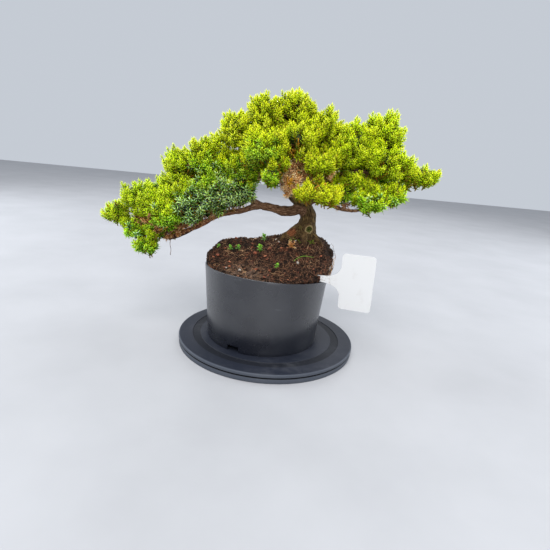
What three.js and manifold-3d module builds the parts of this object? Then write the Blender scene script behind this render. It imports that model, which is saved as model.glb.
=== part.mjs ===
// A Japanese garden juniper grown as a small bonsai, in a cut-down nursery pot on a two-plate turntable.
// Millimetres, +Z up. The origin is the centre of the turntable's underside, and the plant's front faces -Y.
import * as THREE from "three";
import { mergeVertices } from "three/addons/utils/BufferGeometryUtils.js";
import Module from "manifold-3d";

const wasm = await Module();
wasm.setup();
const { Manifold, Mesh } = wasm;

// Clearance between neighbouring pieces
const GAP = 0.3;

// Turntable: two plates with six balls between them
const PLATE = {
  radius: 100,
  baseRadius: 99.5,
  baseTop: 5.4,
  topBottom: 6.4,
  top: 10,
  footChamfer: 0.8,
  lipChamfer: 0.4,
  bevelWidth: 1.6,
  bevelDrop: 1.2,
  sides: 32,
};
const SUNK_RING = { inner: 75.5, outer: 84.6, depth: 0.5, slope: 0.5 };
const RACE = { radius: 60, ballRadius: 2.3, play: 0.15, floorHalf: 1.6, mouthHalf: 2.9, balls: 6 };
const CAGE = { inner: 55, outer: 65, bottom: 5.6, thickness: 0.6, sides: 24 };
const POCKET = { play: 0.4, sides: 6 };
const PIVOT = { radius: 3, bottom: 1.8, top: 8.6, sides: 12 };

// Pot: a tapered plastic wall cut off along a slanted plane
const POT = {
  x: -5.3,
  y: -2,
  baseRadius: 61.9,
  taper: 0.081,
  wall: 1.8,
  rimHeight: 87.5,
  rimSlopeX: -0.0373,
  rimSlopeY: -0.0714,
  floorBottom: 17.2,
  floorTop: 19,
  blankTop: 104,
  sides: 32,
};
const NOTCH = { width: 13, height: 6.5, depth: 20, firstAngle: -116, count: 3 };
const DRAIN = { radius: 4, ring: 38, count: 3, sides: 6 };

// Root ball: its top rises from the front rim to the trunk
const SOIL = { middle: 99, slopeX: 0.03, slopeY: 0.14, bulge: 2.4, lump: 1.1 };
const TRUNK_MOUND = { x: 34, y: 25, height: 22, spread: 2300 };
const BACK_MOUND = { x: -55, y: 30, height: 8, spread: 800 };
const SOIL_RINGS = [0.94, 0.75, 0.45];

// Plant label: a plate with a stem at its middle
const LABEL = {
  plateWidth: 33,
  plateHeight: 60,
  corner: 3.5,
  thickness: 0.8,
  stemLength: 67,
  stemHalf: 3.2,
  pointHalf: 1,
  neckHalf: 14.6,
  neckLength: 21,
  neckPull: 2,
  plateEdge: [71, -46, 93.2],
  along: [0.96, -0.28, 0.02],
  up: [-0.05, -0.1, 0.99],
};

// Wood: x, y, z and radius at each point that a limb passes
const LIMBS = {
  trunk: {
    sides: 10,
    steps: 17,
    points: [
      [33, 25, 98, 15],
      [33, 25, 112, 15],
      [34, 25, 122, 13.2],
      [36, 25, 133, 11.4],
      [35, 24, 147, 9.5],
      [32, 23, 157, 8.8],
      [25, 22, 163, 8],
      [15, 20, 169, 6.5],
      [9, 18, 177, 5.2],
      [7, 17, 188, 4.6],
      [9, 18, 201, 4.2],
      [12, 22, 217, 3.5],
      [9, 24, 235, 2.8],
      [4, 22, 253, 2],
    ],
  },
  left: {
    sides: 7,
    steps: 11,
    points: [
      [29, 22, 155, 6],
      [10, 19, 152, 5.4],
      [-18, 14, 156, 4],
      [-40, 10, 149, 2.9],
      [-63, 8, 142, 2.4],
      [-86, 5, 128, 2.2],
      [-112, 2, 114, 2.4],
      [-129, 0, 114, 2],
      [-137, -4, 112, 1.6],
    ],
  },
  left_tip: {
    sides: 5,
    steps: 4,
    points: [
      [-120, 1, 112, 2.2],
      [-129, 0, 123, 2],
      [-149, 0, 135, 1.6],
      [-177, -2, 138, 1],
    ],
  },
  left_rise: {
    sides: 5,
    steps: 4,
    points: [
      [-14, 14, 154, 3.4],
      [-47, 12, 169, 2.8],
      [-64, 10, 181, 2.4],
      [-80, 8, 194, 1.8],
    ],
  },
  upper_left: {
    sides: 5,
    steps: 4,
    points: [
      [8, 18, 182, 3.6],
      [-21, 14, 190, 2.8],
      [-38, 11, 202, 2.3],
      [-51, 8, 226, 1.4],
    ],
  },
  right_low: {
    sides: 5,
    steps: 5,
    points: [
      [33, 22, 161, 4],
      [43, 12, 167, 3],
      [55, 4, 164, 2.4],
      [77, -8, 161, 2],
      [98, -13, 166, 1.3],
    ],
  },
  right: {
    sides: 6,
    steps: 6,
    points: [
      [27, 22, 163, 5],
      [50, 14, 187, 3.6],
      [66, 10, 197, 3.1],
      [84, 6, 202, 2.6],
      [128, 2, 202, 1.7],
      [149, 2, 204, 1.1],
    ],
  },
  right_rise: {
    sides: 5,
    steps: 4,
    points: [
      [66, 10, 196, 2.8],
      [75, 10, 210, 2.3],
      [88, 10, 222, 2],
      [104, 10, 238, 1.4],
    ],
  },
};

// Surface roots: the compass angle, reach and radius of each root that spreads from the trunk's foot
const ROOTS = [
  { angle: 195, reach: 36, radius: 7.5 },
  { angle: 145, reach: 26, radius: 5 },
  { angle: 272, reach: 27, radius: 5.5 },
  { angle: 325, reach: 30, radius: 5 },
  { angle: 40, reach: 24, radius: 4.5 },
];

const ROOT_SIDES = 5;
const ROOT_STEPS = 4;

// Foliage pads: the centre and half sizes of each, and the tone of its shoots
const PADS = {
  left_tip: { at: [-177, -2, 138], size: [16, 12, 9], tone: "lime" },
  left_low: { at: [-155, -4, 122], size: [16, 16, 14], tone: "green" },
  left_hang: { at: [-143, -8, 107], size: [16, 14, 13], tone: "green" },
  left_top: { at: [-153, 2, 157], size: [23, 20, 17], tone: "lime" },
  left_front: { at: [-123, -12, 141], size: [22, 18, 20], tone: "green" },
  left_back: { at: [-135, 26, 160], size: [24, 18, 19], tone: "green" },
  shoulder: { at: [-109, 6, 190], size: [21, 24, 24], tone: "lime" },
  shoulder_front: { at: [-94, -14, 151], size: [22, 19, 22], tone: "blue" },
  shoulder_back: { at: [-101, 34, 170], size: [23, 18, 23], tone: "green" },
  ridge: { at: [-84, 6, 202], size: [21, 25, 26], tone: "green" },
  blue_front: { at: [-67, -10, 163], size: [19, 18, 20], tone: "blue" },
  blue_right: { at: [-41, -2, 171], size: [20, 18, 17], tone: "blue" },
  crown_left: { at: [-51, 6, 234], size: [20, 26, 22], tone: "lime" },
  crown_left_low: { at: [-45, 4, 198], size: [23, 24, 20], tone: "green" },
  apex_left: { at: [-23, 14, 255], size: [20, 28, 21], tone: "lime" },
  apex_right: { at: [10, 22, 262], size: [24, 30, 21], tone: "lime" },
  crown_front: { at: [-18, -26, 218], size: [22, 20, 20], tone: "green" },
  crown_skirt: { at: [-8, -30, 194], size: [15, 15, 16], tone: "green" },
  crown_heart: { at: [15, -18, 228], size: [20, 20, 22], tone: "lime" },
  crown_inner: { at: [26, 40, 200], size: [20, 18, 20], tone: "green" },
  crown_back: { at: [-12, 66, 239], size: [35, 24, 28], tone: "green" },
  crown_back_right: { at: [45, 68, 233], size: [33, 24, 26], tone: "green" },
  right_peak: { at: [43, 16, 248], size: [18, 26, 20], tone: "lime" },
  right_front: { at: [40, -26, 208], size: [17, 16, 14], tone: "lime" },
  yellow_front: { at: [39, -34, 182], size: [26, 18, 12], tone: "lime" },
  right_mid: { at: [72, -4, 227], size: [22, 26, 27], tone: "lime" },
  right_crest: { at: [106, 10, 243], size: [24, 26, 24], tone: "lime" },
  right_shoulder: { at: [112, -6, 215], size: [25, 24, 21], tone: "lime" },
  right_tip: { at: [149, 2, 206], size: [20, 16, 12], tone: "lime" },
  right_low: { at: [123, -10, 182], size: [14, 14, 13], tone: "green" },
  right_hang: { at: [99, -14, 175], size: [20, 18, 17], tone: "green" },
  right_back: { at: [98, 50, 208], size: [30, 22, 23], tone: "green" },
  right_under: { at: [71, -8, 183], size: [16, 12, 13], tone: "green" },
};
const CORE = { inset: 5.5, lump: 0.25, needle: 7, rise: 0.3 };
// How far apart pads may stand and still be cut along the plane between them
const NEIGHBOUR = { share: 1.3, margin: 6 };
const PAD_GAP = 0.25;
const SHOOT = {
  rows: 1,
  collar: 2,
  rootRadius: 1.8,
  tipRadius: 1.1,
  inset: 1.5,
  needle: 6,
  lean: 42,
  clearance: 2.5,
  areaEach: 1100,
};
const TWIG = { rootRadius: 1.9, tipRadius: 1.1, sides: 3, steps: 2, nearest: 9, sag: 0.12 };

// Seedlings in the soil: place and height
const SEEDLINGS = [
  { x: -12, y: 30, height: 10 },
  { x: -64, y: 12, height: 6 },
  { x: -49, y: 6, height: 7 },
  { x: -39, y: 8, height: 8 },
  { x: -15, y: 2, height: 9 },
  { x: 5, y: -34, height: 7 },
];
const SEEDLING = {
  stemRadius: 0.9,
  buried: 6,
  leaves: { rows: 1, collar: 9, rootRadius: 0.9, tipRadius: 0.8, needle: 5, lean: 70 },
};

const LOOKS = {
  plate: { color: 0x1c1e21, roughness: 0.55, metalness: 0 },
  steel: { color: 0x9a9da1, roughness: 0.3, metalness: 1 },
  cage: { color: 0xd8d8d2, roughness: 0.5, metalness: 0 },
  pot: { color: 0x33373c, roughness: 0.5, metalness: 0 },
  soil: { color: 0x3a2a21, roughness: 0.95, metalness: 0 },
  bark: { color: 0x6b4a30, roughness: 0.9, metalness: 0 },
  lime: { color: 0x9cb82a, roughness: 0.6, metalness: 0 },
  green: { color: 0x6f9428, roughness: 0.6, metalness: 0 },
  blue: { color: 0x6a9a6c, roughness: 0.6, metalness: 0 },
  label: { color: 0xe9eae8, roughness: 0.4, metalness: 0 },
  leaf: { color: 0x5fa024, roughness: 0.5, metalness: 0 },
};

const degrees = THREE.MathUtils.degToRad;

// A fixed draw between 0 and 1 for a whole number
function draw(number) {
  const wave = Math.sin(number * 127.1 + 311.7) * 43758.5453;
  return wave - Math.floor(wave);
}

// A closed geometry as a solid: shared corners are merged and collapsed faces left out
function solidOf(geometry) {
  const bare = geometry.clone();
  bare.deleteAttribute("normal");
  bare.deleteAttribute("uv");
  const merged = mergeVertices(bare, 1e-4);
  const corners = merged.index.array;
  const kept = [];
  for (let i = 0; i < corners.length; i += 3) {
    const [a, b, c] = corners.slice(i, i + 3);
    if (a !== b && b !== c && c !== a) kept.push(a, b, c);
  }
  return new Manifold(
    new Mesh({
      numProp: 3,
      vertProperties: merged.attributes.position.array,
      triVerts: Uint32Array.from(kept),
    }),
  );
}

function geometryOf(solid) {
  const { vertProperties, triVerts } = solid.getMesh();
  const geometry = new THREE.BufferGeometry();
  geometry.setAttribute("position", new THREE.BufferAttribute(new Float32Array(vertProperties), 3));
  geometry.setIndex(new THREE.BufferAttribute(new Uint32Array(triVerts), 1));
  return geometry.toNonIndexed();
}

const part = new THREE.Group();

function addPiece(name, solid, look) {
  const geometry = geometryOf(solid);
  geometry.computeVertexNormals();
  const mesh = new THREE.Mesh(geometry, new THREE.MeshStandardMaterial(LOOKS[look]));
  mesh.name = name;
  part.add(mesh);
}

// The biggest body of a solid that a cut has left in several
function biggestBody(solid) {
  return solid.decompose().reduce((best, body) => (body.volume() > best.volume() ? body : best));
}

// An outline of [radius, height] points turned about the Z axis
function turned(outline, sides) {
  const points = outline.map(([radius, height]) => new THREE.Vector2(radius, height));
  return solidOf(new THREE.LatheGeometry(points, sides).rotateX(Math.PI / 2));
}

function roundBar(radius, bottom, top, sides) {
  const bar = new THREE.CylinderGeometry(radius, radius, top - bottom, sides);
  return solidOf(bar.rotateX(Math.PI / 2).translate(0, 0, (top + bottom) / 2));
}

function ringOfPoints(centreX, centreY, radius, count) {
  return Array.from({ length: count }, (_, i) => {
    const angle = (i / count) * 2 * Math.PI;
    return new THREE.Vector2(centreX + radius * Math.cos(angle), centreY + radius * Math.sin(angle));
  });
}

// Turntable
function ballRace(mouth, floor) {
  return [
    [RACE.radius - RACE.mouthHalf, mouth],
    [RACE.radius - RACE.floorHalf, floor],
    [RACE.radius + RACE.floorHalf, floor],
    [RACE.radius + RACE.mouthHalf, mouth],
  ];
}

const ballCentre = (PLATE.baseTop + PLATE.topBottom) / 2;
const raceReach = RACE.ballRadius + RACE.play;

function turntableBase() {
  const { baseRadius, baseTop, footChamfer, lipChamfer, sides } = PLATE;
  const outline = [
    [0, 0],
    [baseRadius - footChamfer, 0],
    [baseRadius, footChamfer],
    [baseRadius, baseTop - lipChamfer],
    [baseRadius - lipChamfer, baseTop],
    ...ballRace(baseTop, ballCentre - raceReach).reverse(),
    [0, baseTop],
  ];
  const bore = roundBar(PIVOT.radius + GAP, PIVOT.bottom - GAP, baseTop + 1, PIVOT.sides);
  return turned(outline, sides).subtract(bore);
}

function turntableTop() {
  const { radius, topBottom, top, lipChamfer, bevelWidth, bevelDrop, sides } = PLATE;
  const { inner, outer, depth, slope } = SUNK_RING;
  const outline = [
    [0, topBottom],
    ...ballRace(topBottom, ballCentre + raceReach),
    [radius - lipChamfer, topBottom],
    [radius, topBottom + lipChamfer],
    [radius, top - bevelDrop],
    [radius - bevelWidth, top],
    [outer, top],
    [outer - slope, top - depth],
    [inner + slope, top - depth],
    [inner, top],
    [0, top],
  ];
  const bore = roundBar(PIVOT.radius + GAP, topBottom - 1, PIVOT.top + GAP, PIVOT.sides);
  return turned(outline, sides).subtract(bore);
}

function pocketPlace(i) {
  const angle = (i / RACE.balls) * 2 * Math.PI;
  return [RACE.radius * Math.cos(angle), RACE.radius * Math.sin(angle)];
}

function ballCage() {
  const ring = new THREE.Shape(ringOfPoints(0, 0, CAGE.outer, CAGE.sides));
  ring.holes.push(new THREE.Path(ringOfPoints(0, 0, CAGE.inner, CAGE.sides)));
  for (let i = 0; i < RACE.balls; i += 1) {
    const [x, y] = pocketPlace(i);
    ring.holes.push(new THREE.Path(ringOfPoints(x, y, RACE.ballRadius + POCKET.play, POCKET.sides)));
  }
  const sheet = new THREE.ExtrudeGeometry(ring, { depth: CAGE.thickness, bevelEnabled: false });
  return solidOf(sheet.translate(0, 0, CAGE.bottom));
}

addPiece("turntable_base", turntableBase(), "plate");
addPiece("turntable_top", turntableTop(), "plate");
addPiece("turntable_pivot", roundBar(PIVOT.radius, PIVOT.bottom, PIVOT.top, PIVOT.sides), "steel");
addPiece("ball_cage", ballCage(), "cage");
for (let i = 0; i < RACE.balls; i += 1) {
  const [x, y] = pocketPlace(i);
  const ball = new THREE.SphereGeometry(RACE.ballRadius, 6, 4).rotateX(Math.PI / 2);
  addPiece(`ball_${i + 1}`, solidOf(ball.translate(x, y, ballCentre)), "steel");
}

// Pot
const potRadius = (z) => POT.baseRadius + POT.taper * (z - PLATE.top);
const rimHeight = (x, y) => POT.rimHeight + POT.rimSlopeX * (x - POT.x) + POT.rimSlopeY * (y - POT.y);

function rimCut() {
  const size = 240;
  const block = new THREE.BoxGeometry(size, size, size).translate(0, 0, size / 2);
  const normal = new THREE.Vector3(-POT.rimSlopeX, -POT.rimSlopeY, 1).normalize();
  block.applyQuaternion(new THREE.Quaternion().setFromUnitVectors(new THREE.Vector3(0, 0, 1), normal));
  return solidOf(block.translate(0, 0, POT.rimHeight));
}

function pot() {
  const { wall, floorBottom, floorTop, blankTop, sides } = POT;
  const outline = [
    [0, floorBottom],
    [potRadius(floorBottom) - wall, floorBottom],
    [potRadius(PLATE.top) - wall, PLATE.top],
    [potRadius(PLATE.top), PLATE.top],
    [potRadius(blankTop), blankTop],
    [potRadius(blankTop) - wall, blankTop],
    [potRadius(floorTop) - wall, floorTop],
    [0, floorTop],
  ];
  const cuts = [rimCut()];
  for (let i = 0; i < NOTCH.count; i += 1) {
    const notch = new THREE.BoxGeometry(NOTCH.depth, NOTCH.width, 2 * NOTCH.height);
    notch.translate(POT.baseRadius, 0, PLATE.top);
    cuts.push(solidOf(notch.rotateZ(degrees(NOTCH.firstAngle + (i * 360) / NOTCH.count))));
  }
  for (let i = 0; i < DRAIN.count; i += 1) {
    const angle = (i / DRAIN.count) * 2 * Math.PI;
    const hole = roundBar(DRAIN.radius, floorBottom - 1, floorTop + 1, DRAIN.sides);
    cuts.push(hole.translate([DRAIN.ring * Math.cos(angle), DRAIN.ring * Math.sin(angle), 0]));
  }
  return turned(outline, sides).subtract(Manifold.union(cuts)).translate([POT.x, POT.y, 0]);
}

addPiece("pot", pot(), "pot");

// Wood
// A stick of changing radius bent along a curve: a cylinder whose rings follow the points
function limb(points, sides, steps, extra) {
  const path = new THREE.CatmullRomCurve3(points.map(([x, y, z]) => new THREE.Vector3(x, y, z)));
  const frames = path.computeFrenetFrames(steps, false);
  const stick = new THREE.CylinderGeometry(1, 1, 1, sides, steps);
  const place = stick.getAttribute("position");
  for (let i = 0; i < place.count; i += 1) {
    const ring = Math.round((place.getY(i) + 0.5) * steps);
    const along = path.getUtoTmapping(ring / steps) * (points.length - 1);
    const before = Math.min(Math.floor(along), points.length - 2);
    const radius = THREE.MathUtils.lerp(points[before][3], points[before + 1][3], along - before) + extra;
    const point = path.getPointAt(ring / steps);
    if (ring === 0) point.addScaledVector(frames.tangents[ring], -extra);
    if (ring === steps) point.addScaledVector(frames.tangents[ring], extra);
    point.addScaledVector(frames.binormals[ring], place.getX(i) * radius);
    point.addScaledVector(frames.normals[ring], place.getZ(i) * radius);
    place.setXYZ(i, point.x, point.y, point.z);
  }
  return solidOf(stick);
}

// Soil surface over a point
function soilHeight(x, y) {
  const mound = ({ x: mx, y: my, height, spread }) =>
    height * Math.exp(-((x - mx) ** 2 + (y - my) ** 2) / spread);
  return SOIL.middle + SOIL.slopeX * x + SOIL.slopeY * y + mound(TRUNK_MOUND) + mound(BACK_MOUND);
}

function rootPoints({ angle, reach, radius }) {
  const [footX, footY] = LIMBS.trunk.points[0];
  const direction = [Math.cos(degrees(angle)), Math.sin(degrees(angle))];
  const stops = [
    [0.1, 9, 1],
    [0.42, 2.5, 0.85],
    [0.75, -0.5, 0.6],
    [1, -5, 0.35],
  ];
  return stops.map(([share, rise, girth]) => {
    const x = footX + direction[0] * reach * share;
    const y = footY + direction[1] * reach * share;
    return [x, y, soilHeight(x, y) + rise, radius * girth];
  });
}

// The place on the limbs that is nearest to a pad's centre, and how far off it is
function nearestOnLimbs(centre) {
  let best = { distance: Infinity };
  for (const { points } of Object.values(LIMBS)) {
    const path = new THREE.CatmullRomCurve3(points.map(([x, y, z]) => new THREE.Vector3(x, y, z)));
    for (const point of path.getPoints(40)) {
      const distance = point.distanceTo(centre);
      if (distance < best.distance) best = { distance, point };
    }
  }
  return best;
}

// The twig that carries a pad: from the nearest limb to the pad's middle, with a slight sag
function twigPoints({ at }) {
  const end = new THREE.Vector3(...at);
  const { distance, point } = nearestOnLimbs(end);
  if (distance < TWIG.nearest) return null;
  const middle = point.clone().lerp(end, 0.5);
  middle.z -= distance * TWIG.sag;
  return [
    [...point.toArray(), TWIG.rootRadius],
    [...middle.toArray(), (TWIG.rootRadius + TWIG.tipRadius) / 2],
    [...end.toArray(), TWIG.tipRadius],
  ];
}

function wood(extra) {
  const sticks = Object.values(LIMBS).map(({ points, sides, steps }) => limb(points, sides, steps, extra));
  for (const root of ROOTS) sticks.push(limb(rootPoints(root), ROOT_SIDES, ROOT_STEPS, extra));
  for (const pad of Object.values(PADS)) {
    const points = twigPoints(pad);
    if (points) sticks.push(limb(points, TWIG.sides, TWIG.steps, extra));
  }
  return Manifold.union(sticks);
}

const woodRoom = wood(GAP);
addPiece("wood", wood(0), "bark");

// Label
function labelOutline(extra) {
  const { plateWidth: width, plateHeight, corner, stemLength, neckHalf, neckLength, neckPull } = LABEL;
  const half = plateHeight / 2;
  const stem = LABEL.stemHalf + extra;
  const point = LABEL.pointHalf + extra;
  const shape = new THREE.Shape();
  shape.moveTo(-stemLength - extra, -point);
  shape.lineTo(-neckLength, -stem);
  shape.quadraticCurveTo(-neckPull, -stem - 1, 0, -neckHalf);
  shape.lineTo(0, corner - half);
  shape.quadraticCurveTo(0, -half, corner, -half);
  shape.lineTo(width - corner, -half);
  shape.quadraticCurveTo(width, -half, width, corner - half);
  shape.lineTo(width, half - corner);
  shape.quadraticCurveTo(width, half, width - corner, half);
  shape.lineTo(corner, half);
  shape.quadraticCurveTo(0, half, 0, half - corner);
  shape.lineTo(0, neckHalf);
  shape.quadraticCurveTo(-neckPull, stem + 1, -neckLength, stem);
  shape.lineTo(-stemLength - extra, point);
  return shape;
}

function label(extra) {
  const thickness = LABEL.thickness + 2 * extra;
  const settings = { depth: thickness, bevelEnabled: false, curveSegments: 3 };
  const plate = new THREE.ExtrudeGeometry(labelOutline(extra), settings).translate(0, 0, -thickness / 2);
  const along = new THREE.Vector3(...LABEL.along).normalize();
  const face = new THREE.Vector3().crossVectors(along, new THREE.Vector3(...LABEL.up)).normalize();
  const up = new THREE.Vector3().crossVectors(face, along);
  const pose = new THREE.Matrix4().makeBasis(along, up, face);
  return solidOf(plate.applyMatrix4(pose).translate(...LABEL.plateEdge));
}

addPiece("plant_label", label(0), "label");

// Shoots
const middleOf = (face) => face.reduce((sum, point) => sum.add(point), new THREE.Vector3()).divideScalar(3);

// A face drawn out to a point, as three faces
const drawnOut = ([a, b, c], tip) => [a, b, tip, b, c, tip, c, a, tip];

// A shoot drawn out of one face: a slim three-sided stem, each of whose upper faces is drawn out to a needle
function shoot(face, end, { rows, collar, rootRadius, tipRadius, needle, lean }) {
  const foot = middleOf(face);
  const axis = end.clone().sub(foot);
  const length = axis.length();
  axis.normalize();
  const across = face[0].clone().sub(foot).projectOnPlane(axis).normalize();
  const ring = (row) =>
    [0, 1, 2].map((k) => {
      const radius = THREE.MathUtils.lerp(rootRadius, tipRadius, row / rows);
      const spoke = across.clone().applyAxisAngle(axis, (2 * k + row) * (Math.PI / 3));
      const height = THREE.MathUtils.lerp(collar, length, row / rows);
      return foot.clone().addScaledVector(axis, height).addScaledVector(spoke, radius);
    });
  const needleOn = (side) => {
    const tip = middleOf(side);
    const outward = tip.clone().sub(foot).projectOnPlane(axis).normalize();
    tip.addScaledVector(outward, needle * Math.sin(degrees(lean)));
    return drawnOut(side, tip.addScaledVector(axis, needle * Math.cos(degrees(lean))));
  };
  const corners = [];
  let low = ring(0);
  for (let k = 0; k < 3; k += 1) {
    const next = (k + 1) % 3;
    corners.push(face[k], face[next], low[next], face[k], low[next], low[k]);
  }
  for (let row = 1; row <= rows; row += 1) {
    const high = ring(row);
    for (let k = 0; k < 3; k += 1) {
      const next = (k + 1) % 3;
      corners.push(...needleOn([low[k], low[next], high[k]]), ...needleOn([low[next], high[next], high[k]]));
    }
    low = high;
  }
  return [...corners, ...drawnOut(low, middleOf(low).addScaledVector(axis, needle))];
}

// Seedlings: a shoot whose stem is buried in the soil
function seedlingStem({ x, y }, extra) {
  const foot = soilHeight(x, y) - SEEDLING.buried - extra;
  return ringOfPoints(x, y, SEEDLING.stemRadius + extra, 3).map((p) => new THREE.Vector3(p.x, p.y, foot));
}

function seedling(place) {
  const face = seedlingStem(place, 0);
  const end = new THREE.Vector3(place.x, place.y, soilHeight(place.x, place.y) + place.height);
  const corners = [...shoot(face, end, SEEDLING.leaves), ...face.toReversed()];
  return solidOf(new THREE.BufferGeometry().setFromPoints(corners));
}

function seedlingHole(place) {
  const [{ z: foot }] = seedlingStem(place, GAP);
  const top = soilHeight(place.x, place.y) + place.height;
  return roundBar(SEEDLING.stemRadius + 2 * GAP, foot, top, 6).translate([place.x, place.y, 0]);
}

SEEDLINGS.forEach((place, i) => addPiece(`seedling_${i + 1}`, seedling(place), "leaf"));

// Soil: a drum in the pot whose rings are lifted to the soil's height
function soil() {
  const innerRadius = (z) => potRadius(z) - POT.wall - GAP;
  const bottom = POT.floorTop + GAP;
  const sideRows = 4;
  const outline = [new THREE.Vector2(0, -2), new THREE.Vector2(1, -1)];
  for (let i = 0; i < sideRows; i += 1) outline.push(new THREE.Vector2(1, i));
  SOIL_RINGS.forEach((share, i) => outline.push(new THREE.Vector2(share, sideRows + i)));
  outline.push(new THREE.Vector2(0, sideRows + SOIL_RINGS.length));
  const drum = new THREE.LatheGeometry(outline, POT.sides).rotateX(Math.PI / 2);
  const place = drum.getAttribute("position");
  for (let i = 0; i < place.count; i += 1) {
    const row = Math.round(place.getZ(i));
    const angle = Math.atan2(place.getY(i), place.getX(i));
    const share = Math.hypot(place.getX(i), place.getY(i));
    const turn = (angle + Math.PI / 2) / (2 * Math.PI);
    const sector = share > 0.01 ? (Math.round(turn * POT.sides) + POT.sides) % POT.sides : 0;
    const edgeX = POT.x + innerRadius(POT.rimHeight) * Math.cos(angle);
    const edgeY = POT.y + innerRadius(POT.rimHeight) * Math.sin(angle);
    const rim = rimHeight(edgeX, edgeY);
    const edgeTop = soilHeight(edgeX, edgeY) - 2;
    const low = Math.min(rim + GAP, edgeTop - 3);
    const rowHeight = [low, (2 * low + edgeTop) / 3, (low + 2 * edgeTop) / 3, edgeTop];
    const lump = SOIL.lump * (draw(sector * 13 + row * 5) - 0.5) * 2;
    let radius = innerRadius(bottom) * share;
    let height = bottom;
    if (row >= 0 && row < sideRows) {
      height = rowHeight[row];
      const proud = THREE.MathUtils.clamp((height - rim - GAP) / 6, 0, 1);
      radius = innerRadius(Math.min(height, rim)) + proud * (SOIL.bulge + lump);
    }
    const x = POT.x + (row < sideRows ? radius : share * innerRadius(rim)) * Math.cos(angle);
    const y = POT.y + (row < sideRows ? radius : share * innerRadius(rim)) * Math.sin(angle);
    if (row >= sideRows) height = soilHeight(x, y) + lump;
    place.setXYZ(i, x, y, height);
  }
  const holes = [woodRoom, label(GAP), ...SEEDLINGS.map(seedlingHole)];
  return biggestBody(solidOf(drum).subtract(Manifold.union(holes)));
}

addPiece("soil", soil(), "soil");

// Foliage
// How far a pad reaches from its centre along a direction
function padReach({ size }, direction) {
  return 1 / Math.hypot(direction.x / size[0], direction.y / size[1], direction.z / size[2]);
}

// The planes where a pad meets its neighbours, each as a normal that points out of the pad and a distance
function padWalls(pad) {
  const centre = new THREE.Vector3(...pad.at);
  const walls = [];
  for (const other of Object.values(PADS)) {
    if (other === pad) continue;
    const normal = new THREE.Vector3(...other.at).sub(centre);
    const distance = normal.length();
    normal.normalize();
    const mine = padReach(pad, normal);
    const theirs = padReach(other, normal);
    if (distance > (mine + theirs) * NEIGHBOUR.share + NEIGHBOUR.margin) continue;
    const share = (distance * mine) / (mine + theirs);
    walls.push({ normal, limit: normal.dot(centre) + share - PAD_GAP });
  }
  return walls;
}

// The dense middle of a pad, a lumpy ball under its needles, as a list of three-cornered faces
function coreFaces({ at, size }, seed) {
  const ball = new THREE.OctahedronGeometry(1, 2);
  const place = ball.getAttribute("position");
  const half = new THREE.Vector3(...size).subScalar(CORE.inset);
  const corners = [];
  for (let i = 0; i < place.count; i += 1) {
    const point = new THREE.Vector3().fromBufferAttribute(place, i);
    const level = Math.sin(5 * point.x + seed) * Math.sin(4 * point.y + 2 * seed);
    const swell = 1 + CORE.lump * level * Math.sin(6 * point.z - seed);
    corners.push(point.multiply(half).multiplyScalar(swell).add(new THREE.Vector3(...at)));
  }
  return Array.from({ length: corners.length / 3 }, (_, i) => corners.slice(3 * i, 3 * i + 3));
}

// A needle drawn out of a face of the core, leaning up a little
function needleOnCore(face, centre) {
  const middle = middleOf(face);
  const outward = middle.clone().sub(centre).normalize();
  outward.z += CORE.rise;
  return drawnOut(face, middle.addScaledVector(outward.normalize(), CORE.needle));
}

// The directions of a pad's shoots, spread evenly over a ball
function evenDirections(count) {
  const golden = Math.PI * (3 - Math.sqrt(5));
  return Array.from({ length: count }, (_, i) => {
    const z = 1 - (2 * (i + 0.5)) / count;
    const ring = Math.sqrt(1 - z * z);
    return new THREE.Vector3(ring * Math.cos(golden * i), ring * Math.sin(golden * i), z);
  });
}

function padArea([a, b, c]) {
  const power = 1.6;
  const mean = ((a * b) ** power + (a * c) ** power + (b * c) ** power) / 3;
  return 4 * Math.PI * mean ** (1 / power);
}

function foliagePad(pad, seed) {
  const centre = new THREE.Vector3(...pad.at);
  const size = new THREE.Vector3(...pad.size);
  const walls = padWalls(pad);
  const clear = (point, margin) => walls.every(({ normal, limit }) => normal.dot(point) < limit - margin);
  const faces = coreFaces(pad, seed);
  const ends = new Map();
  for (const direction of evenDirections(Math.round(padArea(pad.size) / SHOOT.areaEach))) {
    direction.applyAxisAngle(new THREE.Vector3(0, 0, 1), seed);
    const end = direction.clone().multiply(size).addScaledVector(direction, -SHOOT.inset).add(centre);
    if (!clear(end, SHOOT.clearance)) continue;
    const toEnd = (face) => middleOf(face).distanceTo(end);
    ends.set(faces.reduce((best, face) => (toEnd(face) < toEnd(best) ? face : best)), end);
  }
  const corners = faces.flatMap((face) => {
    if (ends.has(face)) return shoot(face, ends.get(face), SHOOT);
    const needle = needleOnCore(face, centre);
    return clear(needle[2], GAP) ? needle : face;
  });
  let solid = solidOf(new THREE.BufferGeometry().setFromPoints(corners));
  for (const { normal, limit } of walls) {
    solid = solid.trimByPlane(normal.clone().negate().toArray(), -limit);
  }
  return biggestBody(solid.subtract(woodRoom));
}

Object.entries(PADS).forEach(([name, pad], i) => {
  addPiece(`foliage_${name}`, foliagePad(pad, i + 1), pad.tone);
});

export default part;
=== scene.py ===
# %% [markdown]
# # A juniper bonsai on a turntable
# The real object is a Japanese garden juniper, trained low and wide, in a black nursery pot that was cut off
# along a slant. The pot stands on a two-plate turntable. Its plain solids are already made and packed, and
# this lesson dresses them: it keeps every solid's place and form, and makes bark, needles, soil and plastic.
# Everything is in metres. The origin is under the middle of the turntable, and the plant's front faces -Y.

# %% Load the frame
import math

import bmesh
import bpy
import numpy as np
from mathutils import Matrix, Vector, kdtree, noise


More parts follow.
